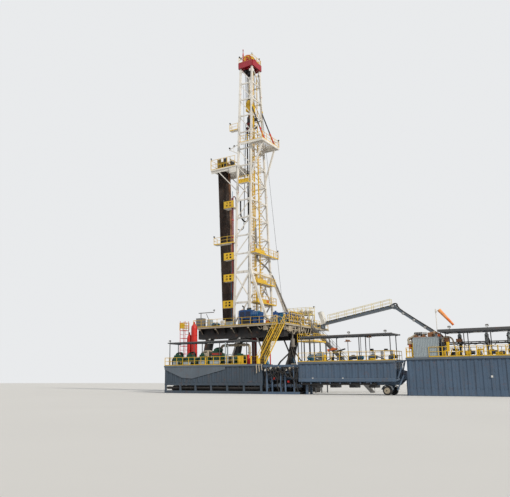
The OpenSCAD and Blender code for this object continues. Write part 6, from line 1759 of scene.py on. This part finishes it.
class RIG_OT_cabin_fittings(bpy.types.Operator):
    """Adds the cabin's corrugations, edge frames, door leaf, cooler, ducts and roof gear"""

    bl_idname = "rig.cabin_fittings"
    bl_label = "Cabin fittings"

    def execute(self, context):
        x0, x1, y0, y1, z0, z1 = 2.99, 3.27, -1.492, -1.29, RIGHT_DECK, 0.659
        ribs = []
        rib = plate(x0 + 0.016, x0 + 0.025, y0 - 0.0025, y0, z0 + 0.012, z1 - 0.012, 0.001)
        ribs.append(repeat(rib, 14, (0.0185, 0, 0)))
        rib = plate(x0 + 0.016, x0 + 0.025, y1, y1 + 0.0025, z0 + 0.012, z1 - 0.012, 0.001)
        ribs.append(repeat(rib, 14, (0.0185, 0, 0)))
        rib = plate(x0 - 0.0025, x0, y0 + 0.016, y0 + 0.025, z0 + 0.012, z1 - 0.012, 0.001)
        ribs.append(repeat(rib, 10, (0, 0.0185, 0)))
        for z in (z0, z1 - 0.010):
            ribs += [plate(x0 - 0.004, x1 + 0.004, y0 - 0.004, y0, z, z + 0.010, 0.001),
                     plate(x0 - 0.004, x1 + 0.004, y1, y1 + 0.004, z, z + 0.010, 0.001),
                     plate(x0 - 0.004, x0, y0, y1, z, z + 0.010, 0.001)]
        ribs += [plate(x1, x1 + 0.004, y0, y1, z1 - 0.010, z1, 0.001)]
        ribs += [plate(x - 0.004, x + 0.004, y - 0.004, y + 0.004, z0, z1, 0.001) for x in (x0, x1)
                 for y in (y0, y1)]
        joined("cabin_corrugation", ribs, "cabin_paint", smooth=False)
        frame_parts = [plate(x1, x1 + 0.005, y0 + 0.046, y0 + 0.052, z0 + 0.008, z0 + 0.212, 0.001),
                       plate(x1, x1 + 0.005, y0 + 0.142, y0 + 0.148, z0 + 0.008, z0 + 0.212, 0.001),
                       plate(x1, x1 + 0.005, y0 + 0.046, y0 + 0.148, z0 + 0.206, z0 + 0.212, 0.001)]
        leaf = turned(plate(x1 + 0.006, x1 + 0.012, y0 + 0.148, y0 + 0.236, z0 + 0.010, z0 + 0.204, 0.001),
                      math.radians(-8), "Z", (x1 + 0.006, y0 + 0.148, z0))
        joined("cabin_door", frame_parts + [leaf], "arm_paint", smooth=False)
        brown = [plate(2.985, 3.12, -1.45, -1.36, z1, z1 + 0.016, 0.002),
                 plate(3.00, 3.02, -1.44, -1.37, z1 + 0.016, z1 + 0.034, 0.002),
                 plate(3.085, 3.105, -1.44, -1.37, z1 + 0.016, z1 + 0.034, 0.002),
                 plate(3.15, 3.20, -1.46, -1.38, z1, z1 + 0.055, 0.004)]
        brown += [rod((2.955, -1.42, RIGHT_DECK), (2.955, -1.42, 0.66), 0.007, 10),
                  rod((2.930, -1.36, RIGHT_DECK), (2.930, -1.36, 0.62), 0.006, 10),
                  plate(2.925, 2.985, -1.45, -1.44, 0.60, 0.612, 0.001),
                  plate(2.915, 2.985, -1.37, -1.36, 0.565, 0.577, 0.001)]
        brown += [pipe_run([(3.16, -1.40, z1 + 0.05), (3.22, -1.40, z1 + 0.055), (3.29, -1.38, z1 + 0.02),
                            (3.33, -1.36, 0.58), (3.33, -1.36, RIGHT_DECK)], 0.011, 10)]
        brown += [plate(3.32, 3.37, -1.42, -1.35, 0.60, 0.65, 0.005),
                  plate(3.44, 3.50, -1.38, -1.31, 0.60, 0.635, 0.005)]
        joined("cabin_roof_gear", brown, "brown_paint")
        dark = [rod((2.985, -1.405, z1 + 0.046), (3.075, -1.405, z1 + 0.046), 0.021, 20, 0.003),
                plate(2.945, 2.988, -1.43, -1.36, 0.500, 0.560, 0.004),
                rod((3.055, -1.37, z1), (3.055, -1.37, z1 + 0.07), 0.010, 12)]
        dark += [plate(3.29, 3.33, -1.47, -1.44, RIGHT_DECK, 0.60, 0.002),
                 plate(3.40, 3.46, -1.40, -1.34, 0.500, 0.525, 0.003)]
        joined("cabin_cooler", dark, "machine_black")
        joined("roof_cylinder", [rod((3.075, -1.405, z1 + 0.046), (3.128, -1.405, z1 + 0.046),
                                     0.019, 20, 0.002)] +
               [rod((3.0 + 0.02 * k, -1.405, z1 + 0.046), (3.004 + 0.02 * k, -1.405, z1 + 0.046), 0.0225,
                    20) for k in range(4)], "bare_steel")
        tan = [pipe_run([(2.915, -1.44, 0.62), (2.925, -1.44, 0.655), (2.96, -1.43, 0.67),
                         (3.0, -1.42, 0.70)], 0.010, 10),
               pipe_run([(2.90, -1.40, 0.58), (2.915, -1.40, 0.64), (2.95, -1.38, 0.655),
                         (2.99, -1.37, 0.69)], 0.008, 10),
               plate(2.925, 2.980, -1.485, -1.455, 0.585, 0.625, 0.004),
               rod((3.21, -1.40, z1), (3.21, -1.40, z1 + 0.075), 0.012, 12, 0.002)]
        tan += [pipe_run([(3.285, -1.42, RIGHT_DECK + 0.02), (3.30, -1.42, 0.62), (3.34, -1.41, 0.66),
                          (3.40, -1.39, 0.64), (3.42, -1.38, 0.56), (3.44, -1.37, 0.44)], 0.009, 10)]
        tan += [flange((3.30, -1.42, h), "Z", 0.016) for h in (0.48, 0.54, 0.60)]
        joined("cabin_ducts", tan, "beige_paint")
        orange = [plate(2.93, 2.975, -1.42, -1.38, 0.565, 0.60, 0.004),
                  rod((2.94, -1.46, 0.53), (2.94, -1.46, 0.585), 0.014, 14, 0.003),
                  plate(3.255, 3.29, -1.44, -1.40, z1 + 0.004, z1 + 0.03, 0.004)]
        joined("orange_valve_boxes", orange, "orange_paint")
        yellow = [plate(2.975, 2.984, -1.49, -1.40, RIGHT_DECK, 0.60, 0.001),
                  plate(2.90, 2.984, -1.49, -1.484, 0.50, 0.508, 0.001),
                  plate(3.345, 3.375, -1.44, -1.41, 0.50, 0.60, 0.003)]
        yellow += [rod((2.905, -1.487, RIGHT_DECK), (2.905, -1.487, 0.535), 0.004, 6),
                   rod((2.94, -1.487, RIGHT_DECK), (2.94, -1.487, 0.535), 0.004, 6)]
        joined("cabin_guard_frame", yellow, "yellow_paint")
        return {"FINISHED"}


class RIG_OT_wheel_fittings(bpy.types.Operator):
    """Fits the trailer's wheels with rims, nuts and tread, and mudguards over them"""

    bl_idname = "rig.wheel_fittings"
    bl_label = "Road wheel fittings"

    def execute(self, context):
        x, z = 2.645, 0.053
        rims, nuts, tread = [], [], []
        for side, y0, y1 in ((-1, -1.484, -1.432), (1, -1.268, -1.216)):
            face = y0 if side < 0 else y1
            rims += [ring((x, face, z), 0.031, 0.0035, "Y", 28, 6),
                     rod((x, face + side * 0.001, z), (x, face - side * 0.006, z), 0.027, 24, 0.002),
                     rod((x, face + side * 0.006, z), (x, face - side * 0.004, z), 0.011, 18, 0.002),
                     ring((x, face, z), 0.019, 0.002, "Y", 24, 5)]
            nuts += [rod((x + 0.0215 * math.cos(a), face + side * 0.001, z + 0.0215 * math.sin(a)),
                         (x + 0.0215 * math.cos(a), face + side * 0.005, z + 0.0215 * math.sin(a)), 0.0022,
                         6) for a in [math.pi * k / 4 for k in range(8)]]
            for k in range(30):
                lug = box((x - 0.002, y0 + 0.004, z + 0.0512), (x + 0.002, y1 - 0.004, z + 0.0527))
                tread.append(turned(lug, 2 * math.pi * k / 30, "Y", (x, 0, z)))
            tread += [ring((x, y, z), 0.0505, 0.0017, "Y", 40, 4)
                      for y in (y0 + 0.003, y0 + 0.018, y1 - 0.018, y1 - 0.003)]
            tread.append(ring((x, face - side * 0.0008, z), 0.042, 0.002, "Y", 36, 5))
        joined("wheel_rims", rims, "beige_paint", body=WHEELS)
        joined("wheel_nuts", nuts, "bare_steel", body=WHEELS)
        joined("tyre_treads", tread, "rubber", body=WHEELS)
        guards = []
        for y0, y1 in ((-1.490, -1.428), (-1.272, -1.210)):
            for k in range(9):
                a = math.radians(20 + 17.5 * k)
                guard = box((x - 0.011, y0, z + 0.0640), (x + 0.011, y1, z + 0.0665))
                guards.append(turned(guard, a - math.pi / 2, "Y", (x, 0, z)))
        joined("mudguards", guards, "arm_paint")
        # gooseneck: bracing pipes and the bell mouth seen by the right tank
        neck = [pipe_run([(2.40, -1.485, 0.150), (2.52, -1.485, 0.175), (2.62, -1.485, 0.180),
                          (2.74, -1.485, 0.165), (2.80, -1.47, 0.190)], 0.012, 10),
                rod((2.78, -1.47, 0.20), (2.83, -1.47, 0.33), 0.010, 10),
                rod((2.80, -1.42, 0.17), (2.86, -1.42, 0.40), 0.008, 10),
                rod((2.765, -1.47, 0.06), (2.85, -1.47, 0.23), 0.009, 10),
                plate(2.765, 2.872, -1.475, -1.463, 0.385, 0.40, 0.002)]
        neck += [plate(2.78 + 0.03 * k, 2.787 + 0.03 * k, -1.446, -1.440, 0.20, 0.39, 0.001)
                 for k in range(3)]
        joined("gooseneck_pipes", neck, "tank_paint")
        return {"FINISHED"}


class RIG_OT_separator_fittings(bpy.types.Operator):
    """Adds bands, nozzles, vent pipe and the yellow basket to the mud gas separator"""

    bl_idname = "rig.separator_fittings"
    bl_label = "Separator fittings"

    def execute(self, context):
        red = []
        for x, r, top in ((-0.52, 0.048, 1.07), (-0.61, 0.038, 0.915)):
            red += [ring((x, -0.95, z), r + 0.001, 0.0028, "Z", 32, 6)
                    for z in (0.24, 0.42, 0.60, 0.78, 0.86 if r > 0.04 else 0.80)]
            red += [flange((x, -0.95, top - 0.16), "Z", 0.020),
                    rod((x, -0.95 - r - 0.02, 0.50), (x, -0.95 - r + 0.01, 0.50), 0.012, 14),
                    flange((x, -0.95 - r - 0.022, 0.50), "Y", 0.019, 0.004),
                    rod((x, -0.95 - r - 0.018, 0.30), (x, -0.95 - r + 0.01, 0.30), 0.016, 14),
                    flange((x, -0.95 - r - 0.020, 0.30), "Y", 0.024, 0.004)]
            red += [plate(x - 0.006, x + 0.006, -0.95 - r - 0.010, -0.95 - r + 0.004, z, z + 0.014, 0.002)
                    for z in (0.66, 0.84 if r > 0.04 else 0.70)]
        red += [pipe_run([(-0.52, -0.95, 0.86), (-0.52, -0.95, 0.99), (-0.52, -0.95, 1.05),
                          (-0.52, -0.95, 1.068)], 0.012, 12)]
        joined("separator_bands", red, "red_paint")
        pale = [plate(-0.565, -0.545, -1.005, -0.985, 0.24, 0.30, 0.004),
                pipe_run([(-0.545, -1.02, 0.30), (-0.55, -1.06, 0.28), (-0.56, -1.06, 0.15),
                          (-0.56, -1.04, 0.03)], 0.014, 12),
                pipe_run([(-0.64, -1.00, 0.30), (-0.65, -1.03, 0.28), (-0.66, -1.03, 0.12),
                          (-0.66, -1.00, 0.03)], 0.012, 12)]
        joined("separator_drains", pale, "beige_paint")
        basket = [plate(-0.765, -0.655, y, y + 0.005, z, z + 0.006) for y in (-1.005, -0.90)
                  for z in (0.98, 1.02, 1.06)]
        basket += [plate(x, x + 0.005, -1.005, -0.895, z, z + 0.006) for x in (-0.765, -0.660)
                   for z in (0.98, 1.02, 1.06)]
        basket += [plate(x, x + 0.005, y, y + 0.005, 0.946, 1.066) for x in (-0.765, -0.71, -0.660)
                   for y in (-1.005, -0.90)]
        basket += [plate(-0.75, -0.67, -1.003, -1.001, 0.975, 1.055)]
        joined("separator_basket", basket, "yellow_paint", smooth=False)
        return {"FINISHED"}


class RIG_OT_windsock(bpy.types.Operator):
    """Sews the faded windsock on its hoop"""

    bl_idname = "rig.windsock"
    bl_label = "Windsock"

    def execute(self, context):
        start, run = SOCK_MOUTH, SOCK_RUN
        length = run.length
        clear_selection()
        bpy.ops.mesh.primitive_cone_add(vertices=32, radius1=SOCK_RADII[0],
                                        radius2=SOCK_RADII[1], depth=length,
                                        end_fill_type="NOTHING")
        sock = bpy.context.object
        bpy.ops.object.mode_set(mode="EDIT")
        bpy.ops.mesh.select_all(action="SELECT")
        bpy.ops.mesh.subdivide(number_cuts=11)
        bpy.ops.object.mode_set(mode="OBJECT")
        for vertex in sock.data.vertices:
            along = vertex.co.z / length + 0.5
            angle = math.atan2(vertex.co.y, vertex.co.x)
            swell = 1 + 0.05 * along * math.sin(3 * angle + 5 * along)
            vertex.co.x *= swell
            vertex.co.y *= swell
        turn = run.to_track_quat("Z", "Y").to_matrix().to_4x4()
        sock.data.transform(Matrix.Translation(start + run / 2) @ turn)
        thick = sock.modifiers.new("cloth", "SOLIDIFY")
        thick.thickness = SOCK_CLOTH
        bpy.ops.object.modifier_apply(modifier=thick.name)
        sock = joined("windsock_cloth", [sock], cloth("sock_cloth", run.normalized(), start), body=SOCK)
        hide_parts("windsock")
        return {"FINISHED"}


class RIG_OT_stage(bpy.types.Operator):
    """Sets the pale floor, the lamps and the camera"""

    bl_idname = "rig.stage"
    bl_label = "Stage, lamps and camera"

    def execute(self, context):
        scene = context.scene
        scene.view_settings.view_transform = "Standard"
        clear_selection()
        bpy.ops.mesh.primitive_plane_add(size=400, location=(0, 0, -0.0012))
        floor = bpy.context.object
        floor.name = "studio_floor"
        settle()
        material = bpy.data.materials.new("studio_floor")
        material.use_nodes = True
        shader = material.node_tree.nodes["Principled BSDF"]
        n = Nodes(material.node_tree)
        coordinates = n.add("ShaderNodeTexCoord").outputs["Object"]
        tone = n.mix(n.noise(coordinates, 0.8, 4.0), (0.74, 0.74, 0.73, 1), (0.80, 0.80, 0.79, 1))
        n.link(tone, shader.inputs["Base Color"])
        shader.inputs["Roughness"].default_value = 0.85
        floor.data.materials.append(material)
        # world: soft light, and a pale background to the camera and in reflections
        world = bpy.data.worlds.new("studio")
        scene.world = world
        world.use_nodes = True
        w = Nodes(world.node_tree)
        background = world.node_tree.nodes["Background"]
        path = w.add("ShaderNodeLightPath")
        seen = w.math("MAXIMUM", path.outputs["Is Camera Ray"], path.outputs["Is Glossy Ray"])
        seen = w.math("MAXIMUM", seen, path.outputs["Is Transmission Ray"])
        strength = w.math("ADD", 0.34, w.math("MULTIPLY", seen, 0.50))
        background.inputs["Color"].default_value = (0.97, 0.985, 1.0, 1)
        w.link(strength, background.inputs["Strength"])
        for name, angle, energy, tint, size in (
                ("key_lamp", (math.radians(62), 0, math.radians(66)), 2.9, (1.0, 0.93, 0.82), 6),
                ("fill_lamp", (math.radians(58), 0, math.radians(-30)), 0.35, (0.9, 0.95, 1.0), 25)):
            lamp = bpy.data.lights.new(name, "SUN")
            lamp.energy = energy
            lamp.angle = math.radians(size)
            lamp.color = tint
            holder = bpy.data.objects.new(name, lamp)
            holder.rotation_euler = angle
            context.collection.objects.link(holder)
        lens = bpy.data.cameras.new("photo_camera")
        lens.sensor_width = CAMERA_SENSOR
        lens.lens = CAMERA_LENS
        lens.shift_x = CAMERA_SHIFT
        lens.clip_end = VIEW_REACH
        camera = bpy.data.objects.new("photo_camera", lens)
        camera.location = CAMERA_AT
        camera.rotation_euler = [math.radians(angle) for angle in CAMERA_TURN]
        context.collection.objects.link(camera)
        scene.camera = camera
        return {"FINISHED"}


class RIG_PT_panel(bpy.types.Panel):
    """Lists the rig's dressing steps"""

    bl_idname = "RIG_PT_panel"
    bl_label = "Drilling rig"
    bl_space_type = "VIEW_3D"
    bl_region_type = "UI"
    bl_category = "Drilling rig"

    def draw(self, context):
        layout = self.layout
        for step in STEPS:
            layout.operator(step.bl_idname)
        for name in RigSizes.__annotations__:
            layout.prop(context.scene.rig_sizes, name)
        for name in RigColours.__annotations__:
            layout.prop(context.scene.rig_colours, name)


STEPS = (RIG_OT_stage, RIG_OT_paint, RIG_OT_hose, RIG_OT_falls, RIG_OT_stands, RIG_OT_windsock,
         RIG_OT_mast_fittings, RIG_OT_crown_fittings, RIG_OT_block_fittings, RIG_OT_platform_fittings,
         RIG_OT_floodlights, RIG_OT_floor_machines, RIG_OT_winch_fittings, RIG_OT_substructure_fittings,
         RIG_OT_arm_fittings, RIG_OT_tank_fittings, RIG_OT_shaker_fittings, RIG_OT_manifold_fittings,
         RIG_OT_canopy_fittings, RIG_OT_cabin_fittings, RIG_OT_wheel_fittings, RIG_OT_separator_fittings)
CLASSES = (RigColours, RigSizes) + STEPS + (RIG_PT_panel,)


def register():
    for cls in CLASSES:
        bpy.utils.register_class(cls)
    bpy.types.Scene.rig_colours = bpy.props.PointerProperty(type=RigColours)
    bpy.types.Scene.rig_sizes = bpy.props.PointerProperty(type=RigSizes)


def unregister():
    del bpy.types.Scene.rig_sizes
    del bpy.types.Scene.rig_colours
    for cls in reversed(CLASSES):
        bpy.utils.unregister_class(cls)


def main():
    random.seed(7)
    register()
    for step in STEPS:
        group, name = step.bl_idname.split(".")
        getattr(getattr(bpy.ops, group), name)()


if __name__ == "__main__":
    main()
